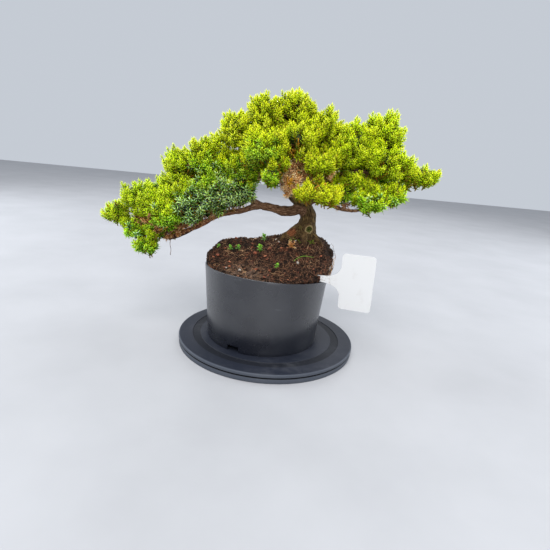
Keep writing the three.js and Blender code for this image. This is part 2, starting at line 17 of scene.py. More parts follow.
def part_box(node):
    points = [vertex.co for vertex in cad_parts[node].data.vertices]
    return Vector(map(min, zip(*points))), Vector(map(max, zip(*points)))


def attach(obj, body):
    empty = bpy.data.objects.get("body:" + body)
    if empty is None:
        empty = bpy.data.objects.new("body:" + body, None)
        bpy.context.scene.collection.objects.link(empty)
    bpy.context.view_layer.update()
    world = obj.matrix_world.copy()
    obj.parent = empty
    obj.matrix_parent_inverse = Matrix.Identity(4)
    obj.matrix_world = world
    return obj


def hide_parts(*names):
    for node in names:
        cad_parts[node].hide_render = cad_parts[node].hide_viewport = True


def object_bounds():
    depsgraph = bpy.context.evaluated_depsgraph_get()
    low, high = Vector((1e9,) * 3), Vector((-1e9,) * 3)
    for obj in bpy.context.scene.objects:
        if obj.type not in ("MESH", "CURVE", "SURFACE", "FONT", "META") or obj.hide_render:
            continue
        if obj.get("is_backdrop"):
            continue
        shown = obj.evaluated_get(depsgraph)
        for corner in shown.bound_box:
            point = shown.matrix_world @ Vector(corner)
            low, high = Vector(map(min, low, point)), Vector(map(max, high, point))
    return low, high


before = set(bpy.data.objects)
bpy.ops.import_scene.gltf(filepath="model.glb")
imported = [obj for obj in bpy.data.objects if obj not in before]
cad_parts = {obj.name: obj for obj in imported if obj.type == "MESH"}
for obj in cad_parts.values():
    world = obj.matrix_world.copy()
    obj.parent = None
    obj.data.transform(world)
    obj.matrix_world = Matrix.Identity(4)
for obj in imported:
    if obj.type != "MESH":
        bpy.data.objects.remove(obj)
cad_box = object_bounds()
bpy.ops.object.select_all(action="DESELECT")
MM = 0.001
print("solids:", len(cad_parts))

# %% [markdown]
# ## Camera
# The camera stands where the photographer's phone stood: close, a little above the pot's rim, looking down by
# 15.6 degrees and rolled by 5.4. Those numbers come from the turntable's rim, the pot and the label, whose
# sizes are known. The lens is worked out from the focal length in pixels of a 550-pixel frame.

# %% Set up the camera
CAMERA_PLACE = Vector((4.35, -450.22, 206.43)) * MM
CAMERA_PITCH = math.radians(15.615)
CAMERA_ROLL = math.radians(5.375)
FOCAL_PIXELS = 413
FRAME_PIXELS = 550
SENSOR_WIDTH = 36

ahead = Vector((0, math.cos(CAMERA_PITCH), -math.sin(CAMERA_PITCH)))
level_right = Vector((1, 0, 0))
level_up = level_right.cross(ahead)
camera_right = level_right * math.cos(CAMERA_ROLL) + level_up * math.sin(CAMERA_ROLL)
camera_up = level_up * math.cos(CAMERA_ROLL) - level_right * math.sin(CAMERA_ROLL)
bpy.ops.object.camera_add()
camera = bpy.context.object
turn = Matrix((camera_right, camera_up, -ahead)).transposed().to_4x4()
camera.matrix_world = Matrix.Translation(CAMERA_PLACE) @ turn
camera.data.sensor_width = SENSOR_WIDTH
camera.data.lens = FOCAL_PIXELS * SENSOR_WIDTH / FRAME_PIXELS
camera.data.clip_start = 0.01
bpy.context.scene.camera = camera
print("lens in mm:", round(camera.data.lens, 2))

# %% [markdown]
# ## Shader sums
# A material is a tree of small nodes, and its maths is easier to read as a sum than as a chain of calls. Wire
# wraps one socket, so that `1 - mask * 0.5` adds the Math nodes itself. Finish wraps one material: its node
# method adds any other node, with the settings first and then the sockets. Colours go through the Mix node.

# %% Colours and wires
def linear(red, green, blue):
    """A colour given as it looks on a screen, 0 to 255, as the light that a shader works with"""
    parts = [value / 255 for value in (red, green, blue)]
    return tuple(p / 12.92 if p <= 0.04045 else ((p + 0.055) / 1.055) ** 2.4 for p in parts)


def feed(socket, value):
    """Links a wire to a socket, or sets the socket to a plain value"""
    if isinstance(value, Wire):
        socket.id_data.links.new(value.socket, socket)
    elif socket.type == "RGBA" and len(value) == 3:
        socket.default_value = (*value, 1)
    else:
        socket.default_value = value


class Wire:
    """One output socket, which can stand in a sum"""

    def __init__(self, socket):
        self.socket = socket

    def sum_with(self, operation, first, second):
        node = self.socket.id_data.nodes.new("ShaderNodeMath")
        node.operation = operation
        feed(node.inputs[0], first)
        feed(node.inputs[1], second)
        return Wire(node.outputs[0])

    def __add__(self, other):
        return self.sum_with("ADD", self, other)

    def __sub__(self, other):
        return self.sum_with("SUBTRACT", self, other)

    def __rsub__(self, other):
        return self.sum_with("SUBTRACT", other, self)

    def __mul__(self, other):
        return self.sum_with("MULTIPLY", self, other)

    __radd__ = __add__


print("middle grey as light:", round(linear(128, 128, 128)[0], 3))


# %% Finishes
class Finish:
    """One material with its Principled shader, and the nodes that are added to it"""

    def __init__(self, name, **fixed):
        self.material = bpy.data.materials.new(name)
        self.material.use_nodes = True
        self.tree = self.material.node_tree
        self.shader = self.tree.nodes["Principled BSDF"]
        for socket, value in fixed.items():
            feed(self.shader.inputs[socket.replace("_", " ")], value)
        self.place = self.node("TexCoord", output="Object")

    def node(self, kind, settings=(), sockets=(), output=0):
        node = self.tree.nodes.new("ShaderNode" + kind)
        for name, value in dict(settings).items():
            if name == "stops":
                self.set_stops(node.color_ramp, value)
            else:
                setattr(node, name, value)
        for name, value in dict(sockets).items():
            feed(node.inputs[name], value)
        return Wire(node.outputs[output])

    @staticmethod
    def set_stops(ramp, stops):
        while len(ramp.elements) < len(stops):
            ramp.elements.new(0.5)
        for element, (position, colour) in zip(ramp.elements, stops):
            element.position = position
            element.color = (*colour, 1)

    def grain(self, size, detail=3, rough=0.55, vector=None):
        """Noise whose bumps are about `size` across, in metres"""
        sockets = {"Vector": vector or self.place, "Scale": 1 / size, "Detail": detail, "Roughness": rough}
        return self.node("TexNoise", sockets=sockets)

    def stretched(self, x, y, z):
        """The place with each axis stretched by a factor"""
        return self.node("Mapping", sockets={"Vector": self.place, "Scale": (x, y, z)})

    def length(self, x, y, z):
        """How long the stretched place is: (1, 1, 0) measures from the Z axis, (0, 0, 1) from the floor"""
        return self.node("VectorMath", {"operation": "LENGTH"}, {0: self.stretched(x, y, z)}, output="Value")

    def fade(self, value, low, high):
        """0 where a value is under `low`, 1 where it is over `high`"""
        settings = {"interpolation_type": "SMOOTHSTEP"}
        return self.node("MapRange", settings, {"Value": value, "From Min": low, "From Max": high})

    def between(self, value, low, high, soft):
        """1 where a value lies from `low` to `high`, fading to 0 over `soft` outside them"""
        return self.fade(value, low - soft, low) * (1 - self.fade(value, high, high + soft))

    def ramp(self, value, *stops):
        """Colours along a value: each stop is a position and a colour as it looks on a screen"""
        stops = [(position, linear(*colour)) for position, *colour in stops]
        return self.node("ValToRGB", {"stops": stops}, {"Fac": value})

    def mix(self, share, first, second, blend="MIX"):
        node = self.tree.nodes.new("ShaderNodeMix")
        node.data_type = "RGBA"
        node.blend_type = blend
        feed(node.inputs[0], share)
        feed(node.inputs[6], first)
        feed(node.inputs[7], second)
        return Wire(node.outputs[2])

    def along(self, axis):
        """The place's X, Y or Z"""
        return self.node("SeparateXYZ", sockets={"Vector": self.place}, output=axis)

    def near(self, point, low, high, ragged=0):
        """1 within `low` of a point and 0 beyond `high`, with an edge that wanders if it is ragged"""
        away = self.node("VectorMath", {"operation": "DISTANCE"}, {0: self.place, 1: point}, output="Value")
        return 1 - self.fade(away + ragged, low, high)

    def tint(self):
        """The colours painted on a mesh's face corners"""
        return self.node("VertexColor", {"layer_name": "tint"}, output="Color")

    def colour(self, value):
        feed(self.shader.inputs["Base Color"], value)

    def roughness(self, value):
        feed(self.shader.inputs["Roughness"], value)

    def bump(self, height, depth, strength=1.0):
        """Relief: a height of 1 stands `depth` metres proud"""
        sockets = {"Height": height, "Distance": depth, "Strength": strength}
        feed(self.shader.inputs["Normal"], self.node("Bump", sockets=sockets))


print("finish methods:", sum(not name.startswith("_") for name in vars(Finish)))


# %% A simple finish
def mottled(name, size, stops, least, extra, rough_size=None, detail=3, **fixed):
    """A simple finish: noise picks its colour and adds up to `extra` to its roughness"""
    finish = Finish(name, **fixed)
    spots = finish.grain(size, detail)
    finish.colour(finish.ramp(spots, *stops))
    finish.roughness(least + (finish.grain(rough_size) if rough_size else spots) * extra)
    return finish


print("shader helpers ready")

# %% [markdown]
# ## Floor and light
# The plant stands on a plain pale table in soft daylight. A large flat floor and an even world colour give
# that, with one broad lamp above and in front. A weak one low in front opens the shade under the crown, two
# bluish ones at the sides leave long reflections on the pot's round wall, and one behind parts the needles
# from the background.

# %% Lay the floor and set the lights
FLOOR_SIZE = 6
LIGHTS = {
    "sky_panel": {"place": (-0.4, -1.9, 2.6), "size": 2.6, "power": 114, "tint": (1.0, 0.985, 0.96)},
    "front_panel": {"place": (0.3, -1.9, 0.8), "size": 1.6, "power": 20, "tint": (1.0, 0.99, 0.97)},
    "left_panel": {"place": (-1.4, 0.35, 0.6), "size": 1.0, "power": 16, "tint": (0.93, 0.97, 1.0)},
    "right_panel": {"place": (1.4, 0.35, 0.6), "size": 0.95, "power": 13, "tint": (0.93, 0.97, 1.0)},
    "back_panel": {"place": (0.2, 1.6, 1.3), "size": 1.4, "power": 9, "tint": (1.0, 1.0, 1.0)},
}
LIGHT_AIM = Vector((0, 0, 0.14))
SKY_COLOUR = (0.56, 0.6, 0.66, 1)
SKY_POWER = 1.0

bpy.ops.mesh.primitive_plane_add(size=FLOOR_SIZE)
floor = bpy.context.object
floor.name = "floor"
pale_table = Finish("pale_table", Roughness=0.6)
cloudy = pale_table.grain(0.12, detail=4)
pale_table.colour(pale_table.ramp(cloudy, (0.3, 157, 158, 162), (0.7, 165, 166, 170)))
floor.data.materials.append(pale_table.material)
floor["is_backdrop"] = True
for name, light in LIGHTS.items():
    place = Vector(light["place"])
    turn = (place - LIGHT_AIM).to_track_quat("Z", "Y").to_euler()
    bpy.ops.object.light_add(type="AREA", location=place, rotation=turn)
    lamp = bpy.context.object
    lamp.name = name
    lamp.data.shape = "DISK"
    lamp.data.size = light["size"]
    lamp.data.energy = light["power"]
    lamp.data.color = light["tint"]
world = bpy.data.worlds.new("soft_sky")
world.use_nodes = True
world.node_tree.nodes["Background"].inputs["Color"].default_value = SKY_COLOUR
world.node_tree.nodes["Background"].inputs["Strength"].default_value = SKY_POWER
bpy.context.scene.world = world
bpy.context.scene.view_settings.view_transform = "Standard"
print("lights:", ", ".join(LIGHTS))

# %% [markdown]
# ## Tools for the hand work
# Pieces are shaped in edit mode, where an operator acts on what is selected. `pick` selects faces or edges by
# a test of their place and normal. `settle` ends the work on a piece: it puts the place into the mesh, gives
# the piece its material, lets it ride on its body, and hides the plain solid that it stands for.

# %% Edit-mode helpers
def edit(obj):
    bpy.context.view_layer.objects.active = obj
    bpy.ops.object.mode_set(mode="EDIT")


def done():
    bpy.ops.object.mode_set(mode="OBJECT")


def pick(obj, test, kind="FACE"):
    """Selects each face or edge whose middle passes the test"""
    bpy.ops.mesh.select_mode(type=kind)
    bpy.ops.mesh.select_all(action="DESELECT")
    mesh = bmesh.from_edit_mesh(obj.data)
    if kind == "FACE":
        for face in mesh.faces:
            face.select_set(bool(test(face.calc_center_median(), face.normal)))
    else:
        for edge in mesh.edges:
            first, second = (v.co for v in edge.verts)
            edge.select_set(bool(test((first + second) / 2, (second - first).normalized())))
    mesh.select_flush_mode()
    bmesh.update_edit_mesh(obj.data)


def only(obj):
    bpy.ops.object.select_all(action="DESELECT")
    obj.select_set(True)
    bpy.context.view_layer.objects.active = obj


def settle(obj, name, finish, slot, body, *solids):
    """Ends the work on a piece and says how many triangles it has"""
    only(obj)
    bpy.ops.object.transform_apply(location=True, rotation=True, scale=True)
    obj.name = obj.data.name = name
    obj.data.materials.clear()
    obj.data.materials.append(finish.material)
    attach(obj, body)
    if solids:
        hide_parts(*solids)
    print(name, "triangles:", sum(len(face.vertices) - 2 for face in obj.data.polygons))
    obj.select_set(False)
    return obj


print("hand tools ready")


# %% Modifiers, joins and smooth shading
def use(obj, kind, **settings):
    """Adds a modifier and applies it"""
    only(obj)
    modifier = obj.modifiers.new(kind.lower(), kind)
    for name, value in settings.items():
        setattr(modifier, name, value)
    bpy.ops.object.modifier_apply(modifier=modifier.name)


def joined(objects):
    bpy.ops.object.select_all(action="DESELECT")
    for obj in objects:
        obj.select_set(True)
    bpy.context.view_layer.objects.active = objects[0]
    bpy.ops.object.join()
    return bpy.context.object


def rounded(obj, degrees=35):
    only(obj)
    bpy.ops.object.shade_smooth_by_angle(angle=math.radians(degrees))


print("object tools ready")

# %% [markdown]
# ## Turntable plastic
# The turntable is moulded in black plastic with a fine matt grain. Dust dulls it, and its rim is paler:
# partly worn, partly a painted highlight along the bevel. The gap between its plates is painted nearly black,
# as painted shade. A dark colour with a little cloudy dust, an uneven roughness and a very low grain relief
# give that. Rings and edges are found by the distance from the axis, and the gap by the height.

# %% Black turntable plastic
black_plastic = Finish("black_turntable_plastic", Specular_IOR_Level=0.2)
from_axis = black_plastic.length(1, 1, 0)
sunk_ring = black_plastic.between(from_axis, 0.0757, 0.0844, 0.0004)
dust = black_plastic.fade(black_plastic.grain(0.03, detail=6, rough=0.7), 0.48, 0.78)
speck = black_plastic.fade(black_plastic.grain(0.0013, detail=1), 0.68, 0.78)
moulded_and_painted_light = black_plastic.mix(sunk_ring, linear(26, 30, 41), linear(16, 19, 27))
# The plates' rim is paler: partly wear, partly a painted highlight along the bevel and the side.
worn_and_highlit_edge = black_plastic.fade(from_axis, 0.0982, 0.0996)
moulded_and_painted_light = black_plastic.mix(worn_and_highlit_edge * 0.8, moulded_and_painted_light, linear(66, 71, 80))
# Painted shade: the gap between the plates is painted nearly black.
above_floor = black_plastic.length(0, 0, 1)
gap = black_plastic.between(above_floor, 0.0052, 0.0066, 0.0005)
moulded_and_painted_light = black_plastic.mix(gap * 0.9, moulded_and_painted_light, linear(5, 6, 8))
black_plastic.colour(black_plastic.mix((dust * 0.3 + speck * 0.2) * (1 - gap), moulded_and_painted_light, linear(84, 86, 92)))
black_plastic.roughness(0.55 + dust * 0.14 + sunk_ring * 0.1)
black_plastic.bump(black_plastic.grain(0.0006, detail=1), 0.00005, 0.6)
print("black plastic nodes:", len(black_plastic.tree.nodes))

# %% [markdown]
# ## Turntable plates
# Each plate starts as a round blank. Its rim is bevelled, and its faces are stepped in ring by ring with
# Inset, which can move inwards and up or down at once. That gives the sunk ring on top and, where the plates
# face each other, the groove for the balls and the bore of the pivot. The two plates are 1 mm apart.

# %% Plate sizes and tools
PLATE_SIDES = 180
TOP_RADIUS, BASE_RADIUS = 100, 99.5
BASE_TOP, TOP_BOTTOM, TOP_HEIGHT = 5.4, 6.4, 10
RACE = [(62.9, 0), (61.6, -1.95), (58.4, 0), (57.1, 1.95), (3.4, 0)]
TOP_RINGS = [(84.6, 0), (84.2, -0.5), (75.9, 0), (75.5, 0.5), (58, 0), (57.7, -0.15), (57, 0), (56.7, 0.15)]


def blank(radius, bottom, top):
    place = (0, 0, (bottom + top) / 2 * MM)
    bpy.ops.mesh.primitive_cylinder_add(
        vertices=PLATE_SIDES, radius=radius * MM, depth=(top - bottom) * MM, location=place
    )
    bpy.ops.object.transform_apply()
    return bpy.context.object


def bevel_rim(obj, height, width, segments=3):
    """Bevels the outer edge that runs round at a height"""
    edit(obj)
    pick(obj, lambda middle, along: abs(middle.z - height * MM) < 1e-5 and abs(along.z) < 0.5, "EDGE")
    bpy.ops.mesh.bevel(offset=width * MM, segments=segments, affect="EDGES")
    done()


def step_in(obj, height, start, rings):
    """Steps a flat end inwards through (radius, rise) rings"""
    edit(obj)
    pick(obj, lambda middle, normal: abs(middle.z - height * MM) < 1e-5 and abs(normal.z) > 0.9)
    radius = start
    for next_radius, rise in rings:
        bpy.ops.mesh.inset(thickness=(radius - next_radius) * MM, depth=rise * MM)
        radius = next_radius
    done()


print("gap between the plates in mm:", round(TOP_BOTTOM - BASE_TOP, 1))

# %% Upper and lower plate
top_plate = blank(TOP_RADIUS, TOP_BOTTOM, TOP_HEIGHT)
bevel_rim(top_plate, TOP_HEIGHT, 1.2)
bevel_rim(top_plate, TOP_BOTTOM, 0.5, 2)
step_in(top_plate, TOP_HEIGHT, TOP_RADIUS - 1.2, TOP_RINGS)
step_in(top_plate, TOP_BOTTOM, TOP_RADIUS - 0.5, [*RACE, (3.3, -2.4)])
rounded(top_plate)
settle(top_plate, "turntable_upper_plate", black_plastic, "plate", "turntable", "turntable_top")

base_plate = blank(BASE_RADIUS, 0, BASE_TOP)
bevel_rim(base_plate, BASE_TOP, 0.6, 2)
bevel_rim(base_plate, 0, 0.8)
step_in(base_plate, BASE_TOP, BASE_RADIUS - 0.6, [*RACE, (3.3, -3.8)])
rounded(base_plate)
settle(base_plate, "turntable_lower_plate", black_plastic, "plate", "stand", "turntable_base")

# %% [markdown]
# ## Bearing
# Between the plates a pale cage spaces six steel balls about a steel pin. They hardly show, so the cage and
# the pin keep their solids and only get a finish, and one smooth ball is modelled and copied to its places.

# %% Balls, cage and pin
bright_steel = Finish("bright_steel", Metallic=1.0)
bright_steel.colour(linear(176, 178, 182))
bright_steel.roughness(0.22 + bright_steel.grain(0.0008) * 0.2)
nylon_stops = [(0.3, 196, 196, 188), (0.7, 216, 216, 208)]
pale_nylon = mottled("pale_nylon", 0.004, nylon_stops, 0.45, 0.15, 0.001)
for node, finish in {"turntable_pivot": bright_steel, "ball_cage": pale_nylon}.items():
    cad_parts[node].data.materials.clear()
    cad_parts[node].data.materials.append(finish.material)

BALL_RADIUS = 2.3
BALLS = 6
bpy.ops.mesh.primitive_uv_sphere_add(segments=20, ring_count=12, radius=BALL_RADIUS * MM)
first_ball = bpy.context.object
bpy.ops.object.shade_smooth()
for number in range(1, BALLS + 1):
    low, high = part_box(f"ball_{number}")
    ball = first_ball.copy()
    ball.data = first_ball.data.copy()
    bpy.context.collection.objects.link(ball)
    ball.location = (low + high) / 2
    settle(ball, f"steel_ball_{number}", bright_steel, "steel", "race", f"ball_{number}")
bpy.data.objects.remove(first_ball)

# %% [markdown]
# ## Pot plastic
# A nursery pot is thin black polythene or polypropylene: dark grey, satin, with dried splashes and dust low
# down, fine scuffs, and a faint unevenness that bends its reflections. The dust comes from the height above
# the foot, and the scuffs from noise that is squeezed to thin level streaks.

# %% Dark pot plastic
POT_FOOT = 10
pot_plastic = Finish("dark_pot_plastic", Specular_IOR_Level=1.0)
low_down = 1 - pot_plastic.fade(pot_plastic.along("Z"), (POT_FOOT + 2) * MM, (POT_FOOT + 30) * MM)
splashes = pot_plastic.fade(pot_plastic.grain(0.0035, detail=7, rough=0.75), 0.6, 0.76)
streaks = pot_plastic.grain(0.02, detail=5, vector=pot_plastic.stretched(1, 1, 9))
scuffs = pot_plastic.fade(streaks, 0.66, 0.74) * pot_plastic.fade(pot_plastic.grain(0.025), 0.5, 0.62)
film = pot_plastic.fade(pot_plastic.grain(0.04, detail=3), 0.35, 0.7)
dirty = splashes * (0.03 + low_down * 0.4) + scuffs * 0.3 + film * 0.06
pot_plastic.colour(pot_plastic.mix(dirty, linear(9, 12, 22), linear(106, 110, 116)))
pot_plastic.roughness(0.26 + film * 0.04 + splashes * (0.02 + low_down * 0.1))
pot_plastic.bump(pot_plastic.grain(0.0009, detail=2), 0.00003, 0.4)
print("pot plastic nodes:", len(pot_plastic.tree.nodes))

# %% [markdown]
# ## Pot
# The pot starts as a tapered blank, wider at the top. Its upper end is set in by the wall's thickness and
# pushed down to the floor, and its lower end is pushed up, as the real floor stands on a short rim. Cutters
# then take off the top along the slant, three drainage notches at the foot, and three holes in the floor. A
# small bevel softens the cut edges, and the thin wall is pulled very slightly out of round.

# %% Pot sizes
POT_MIDDLE = Vector((-5.3, -2, 0)) * MM
POT_TOP = 104
POT_BASE_RADIUS = 61.9
POT_TAPER = 0.081
POT_WALL = 1.8
POT_FLOOR = (17.2, 19)
RIM_HEIGHT = 87.5
RIM_SLOPE = (-0.0373, -0.0714)
POT_SIDES = 180
NOTCH_SIZE = (20, 13, 13)
NOTCH_ANGLES = (-116, 4, 124)
DRAIN_ANGLES = (0, 120, 240)
DRAIN_REACH, DRAIN_RADIUS = 38, 4
CUTTER_SIZE = 0.24
OUT_OF_ROUND = 0.35


def pot_radius(height):
    return POT_BASE_RADIUS + POT_TAPER * (height - POT_FOOT)


def rim_height(x, y):
    """Height of the slanted rim over a place, all in millimetres"""
    return RIM_HEIGHT + RIM_SLOPE[0] * (x - POT_MIDDLE.x / MM) + RIM_SLOPE[1] * (y - POT_MIDDLE.y / MM)


def round_pot(radius, angle):
    """The x and y of a place at an angle about the pot's middle, in millimetres"""
    return POT_MIDDLE.x / MM + radius * math.cos(angle), POT_MIDDLE.y / MM + radius * math.sin(angle)


print("pot radius at the rim in mm:", round(pot_radius(RIM_HEIGHT), 1))

# %% Make the pot's blank
bpy.ops.mesh.primitive_cone_add(
    vertices=POT_SIDES,
    radius1=POT_BASE_RADIUS * MM,
    radius2=pot_radius(POT_TOP) * MM,
    depth=(POT_TOP - POT_FOOT) * MM,
    location=(POT_MIDDLE.x, POT_MIDDLE.y, (POT_TOP + POT_FOOT) / 2 * MM),
)
bpy.ops.object.transform_apply()
pot = bpy.context.object
edit(pot)
pick(pot, lambda middle, along: abs(along.z) > 0.9, "EDGE")
bpy.ops.mesh.subdivide(number_cuts=23)
pick(pot, lambda middle, normal: normal.z > 0.9)
bpy.ops.mesh.inset(thickness=POT_WALL * MM, depth=0)
cavity_taper = POT_TAPER * (POT_TOP - POT_FLOOR[1])
bpy.ops.mesh.inset(thickness=cavity_taper * MM, depth=(POT_FLOOR[1] - POT_TOP) * MM)
pick(pot, lambda middle, normal: normal.z < -0.9)
bpy.ops.mesh.inset(thickness=POT_WALL * MM, depth=0)
bpy.ops.mesh.inset(thickness=0.1 * MM, depth=(POT_FOOT - POT_FLOOR[0]) * MM)
done()
print("pot blank:", len(pot.data.polygons), "faces")

# %% Cut the rim, the notches and the drain holes
cutters = []
bpy.ops.mesh.primitive_cube_add(size=CUTTER_SIZE)
slab = bpy.context.object
slant = Vector((-RIM_SLOPE[0], -RIM_SLOPE[1], 1)).normalized().to_track_quat("Z", "Y")
slab.matrix_world = (
    Matrix.Translation(POT_MIDDLE + Vector((0, 0, RIM_HEIGHT * MM)))
    @ slant.to_matrix().to_4x4()
    @ Matrix.Translation((0, 0, CUTTER_SIZE / 2))
)
cutters.append(slab)
for angle in NOTCH_ANGLES:
    turn = Matrix.Rotation(math.radians(angle), 4, "Z")
    bpy.ops.mesh.primitive_cube_add(size=1)
    notch = bpy.context.object
    sizes = Matrix.Diagonal([*(size * MM for size in NOTCH_SIZE), 1])
    notch.matrix_world = (
        Matrix.Translation(POT_MIDDLE + Vector((0, 0, POT_FOOT * MM)))
        @ turn
        @ Matrix.Translation((POT_BASE_RADIUS * MM, 0, 0))
        @ sizes
    )
    cutters.append(notch)
for angle in DRAIN_ANGLES:
    turn = Matrix.Rotation(math.radians(angle), 3, "Z")
    middle = POT_MIDDLE + turn @ Vector((DRAIN_REACH * MM, 0, 18 * MM))
    bpy.ops.mesh.primitive_cylinder_add(vertices=32, radius=DRAIN_RADIUS * MM, depth=6 * MM, location=middle)
    cutters.append(bpy.context.object)
cutter = joined(cutters)
use(pot, "BOOLEAN", operation="DIFFERENCE", object=cutter, solver="EXACT")
bpy.data.objects.remove(cutter)
use(pot, "BEVEL", width=0.3 * MM, segments=2, limit_method="ANGLE", angle_limit=math.radians(50))
for vertex in pot.data.vertices:
    out = Vector((vertex.co.x, vertex.co.y, 0)) - POT_MIDDLE
    if out.length > 50 * MM:
        wave = noise.noise(Vector((vertex.co.x * 22, vertex.co.y * 22, vertex.co.z * 14)))
        vertex.co += out.normalized() * wave * OUT_OF_ROUND * MM
rounded(pot, 40)
settle(pot, "pot_shell", pot_plastic, "pot", "turntable", "pot")

# %% [markdown]
# ## Plant label
# The label is one sheet of white plastic, 0.8 mm thick: a rounded plate and a pointed stem that was pushed
# into the root ball. The plate is bevelled at its corners, and the stem is pulled out of its inner edge step
# by step, narrower each time. Earth has smudged it where the stem enters the soil.

# %% White label plastic
LABEL_ROOT = Vector((71, -46, 93.2)) * MM
LABEL_ALONG = Vector((0.96, -0.28, 0.02))
LABEL_UP = Vector((-0.05, -0.1, 0.99))
white_plastic = Finish("white_label_plastic", Specular_IOR_Level=0.45)
smudge_place = LABEL_ROOT - LABEL_ALONG.normalized() * 19 * MM
crumbly = white_plastic.fade(white_plastic.grain(0.0022, detail=5, rough=0.7), 0.5, 0.62)
smudges = white_plastic.near(smudge_place, 5 * MM, 17 * MM) * crumbly
faint = white_plastic.fade(white_plastic.grain(0.012, detail=4), 0.55, 0.8) * 0.12
soiled = smudges * 0.45 + faint
white_plastic.colour(white_plastic.mix(soiled, linear(195, 196, 197), linear(120, 100, 84)))
white_plastic.roughness(0.32 + white_plastic.grain(0.006) * 0.18)
print("label plastic nodes:", len(white_plastic.tree.nodes))

# %% Make the label
PLATE_LENGTH, PLATE_BREADTH, SHEET = 33, 60, 0.8
CORNER_RADIUS = 3.5
NECK_START = 14.6
NECK = [
    (-0.8, 12.9), (-1.8, 10.9), (-3.2, 8.9), (-5, 7.1), (-8, 5.4), (-12, 4.2), (-21, 3.2), (-62, 3.1),
    (-67, 0.7),
]

bpy.ops.mesh.primitive_cube_add(size=1, location=(PLATE_LENGTH / 2 * MM, 0, 0))
label = bpy.context.object
label.scale = (PLATE_LENGTH * MM, PLATE_BREADTH * MM, SHEET * MM)
bpy.ops.object.transform_apply()
edit(label)
pick(label, lambda middle, along: abs(along.z) > 0.9, "EDGE")
bpy.ops.mesh.bevel(offset=CORNER_RADIUS * MM, segments=8, affect="EDGES")
for side in (-1, 1):
    bpy.ops.mesh.select_all(action="SELECT")
    bpy.ops.mesh.bisect(plane_co=(0, side * NECK_START * MM, 0), plane_no=(0, 1, 0))
pick(label, lambda middle, normal: normal.x < -0.9 and abs(middle.y) < 10 * MM)
breadth, reach = NECK_START, 0
for place, half in NECK:
    bpy.ops.mesh.extrude_region_move(TRANSFORM_OT_translate={"value": ((place - reach) * MM, 0, 0)})
    bpy.ops.transform.resize(value=(1, half / breadth, 1), center_override=(place * MM, 0, 0))
    breadth, reach = half, place
pick(label, lambda middle, normal: abs(normal.z) > 0.9 and middle.x > 0)
bpy.ops.mesh.dissolve_faces()
done()
use(label, "BEVEL", width=0.16 * MM, segments=2, limit_method="ANGLE", angle_limit=math.radians(60))
label_along = LABEL_ALONG.normalized()
label_face = label_along.cross(LABEL_UP).normalized()
label_up = label_face.cross(label_along)
turn = Matrix((label_along, label_up, label_face)).transposed().to_4x4()
label.matrix_world = Matrix.Translation(LABEL_ROOT) @ turn
rounded(label, 15)
settle(label, "label_sheet", white_plastic, "label", "turntable", "plant_label")

# %% [markdown]
# ## Root ball
# The soil stands in the pot as a firm cake of peat, bark crumbs and roots. Its front edge is level with the
# cut rim, and it rises to the trunk and stands proud of the rim at the back. Its right shoulder leans out
# over the rim. One grid is enough: its square is drawn into a round, the outer rows are folded down to make
# the side, and layers of noise raise lumps, crumbs and pits.

# %% Soil heights
TRUNK_FOOT = (34, 25)


def kept(value, low=0.0, high=1.0):
    """A value kept between two limits"""
    return min(high, max(low, value))


def soil_height(x, y):
    """Height of the soil's surface over a place, all in millimetres"""
    mound = 22 * math.exp(-((x - TRUNK_FOOT[0]) ** 2 + (y - TRUNK_FOOT[1]) ** 2) / 2300)
    hump = 8 * math.exp(-((x + 55) ** 2 + (y - 30) ** 2) / 800)
    return 99 + 0.03 * x + 0.14 * y + mound + hump


def lumps(x, y, z):
    """Relief of the soil in millimetres, from clods of 12 mm down to crumbs of 1 mm"""
    clod = noise.noise(Vector((x, y, z)) / 11) * 1.5
    clump = noise.noise(Vector((x, y, z)) / 4.2 + Vector((9, 4, 1))) * 1.5
    crumb = abs(noise.noise(Vector((x, y, z)) / 1.7)) * 1.9
    return clod + clump + crumb - 0.6


def soil_top(x, y):
    """Height of the soil with its lumps"""
    return soil_height(x, y) + lumps(x, y, soil_height(x, y))


print("soil at the trunk's foot in mm:", round(soil_height(*TRUNK_FOOT), 1))

# %% Root ball's side
SIDE_SHARE = 0.86
WALL_GAP = 0.5
EDGE_PROUD, EDGE_PROUD_RISE = 2.2, 8
EDGE_DROP, EDGE_START = 16, 0.9
OVERHANG = 4.8
OVERHANG_ANGLE = 0.25
OVERHANG_HEIGHTS = (90, 112)


def overhang(z, angle):
    """How far the root ball's right side leans out at a height, in millimetres"""
    low, high = OVERHANG_HEIGHTS
    return OVERHANG * kept((z - low) / (high - low)) * max(0.0, math.cos(angle - OVERHANG_ANGLE)) ** 2


def soil_point(u, v):
    """Where a place of the round grid lies in the root ball"""
    share = math.hypot(u, v)
    angle = math.atan2(v, u)
    rim = rim_height(*round_pot(pot_radius(RIM_HEIGHT) - POT_WALL - WALL_GAP, angle))
    inner = pot_radius(rim) - POT_WALL - WALL_GAP
    edge_top = soil_height(*round_pot(inner, angle)) - 1.4
    proud = kept((edge_top - rim) / EDGE_PROUD_RISE) * EDGE_PROUD
    if share < SIDE_SHARE:
        x, y = round_pot((inner + proud + overhang(edge_top, angle) - 1.2) * share / SIDE_SHARE, angle)
        z = soil_height(x, y) - EDGE_DROP * max(0.0, share / SIDE_SHARE - EDGE_START)
        return Vector((x, y, z + lumps(x, y, z)))
    down = (share - SIDE_SHARE) / (1 - SIDE_SHARE)
    z = edge_top * (1 - down) + (rim - 3) * down
    above_rim = kept((z - rim) / 3)
    radius = inner + proud * above_rim + overhang(z, angle)
    rough = lumps(*round_pot(radius, angle), z) * above_rim
    return Vector((*round_pot(radius + rough * 0.8, angle), z))


print("right shoulder leans out by mm:", round(overhang(OVERHANG_HEIGHTS[1], OVERHANG_ANGLE), 1))

# %% Make the root ball
SOIL_ROWS = 144
SOIL_BOTTOM = 20

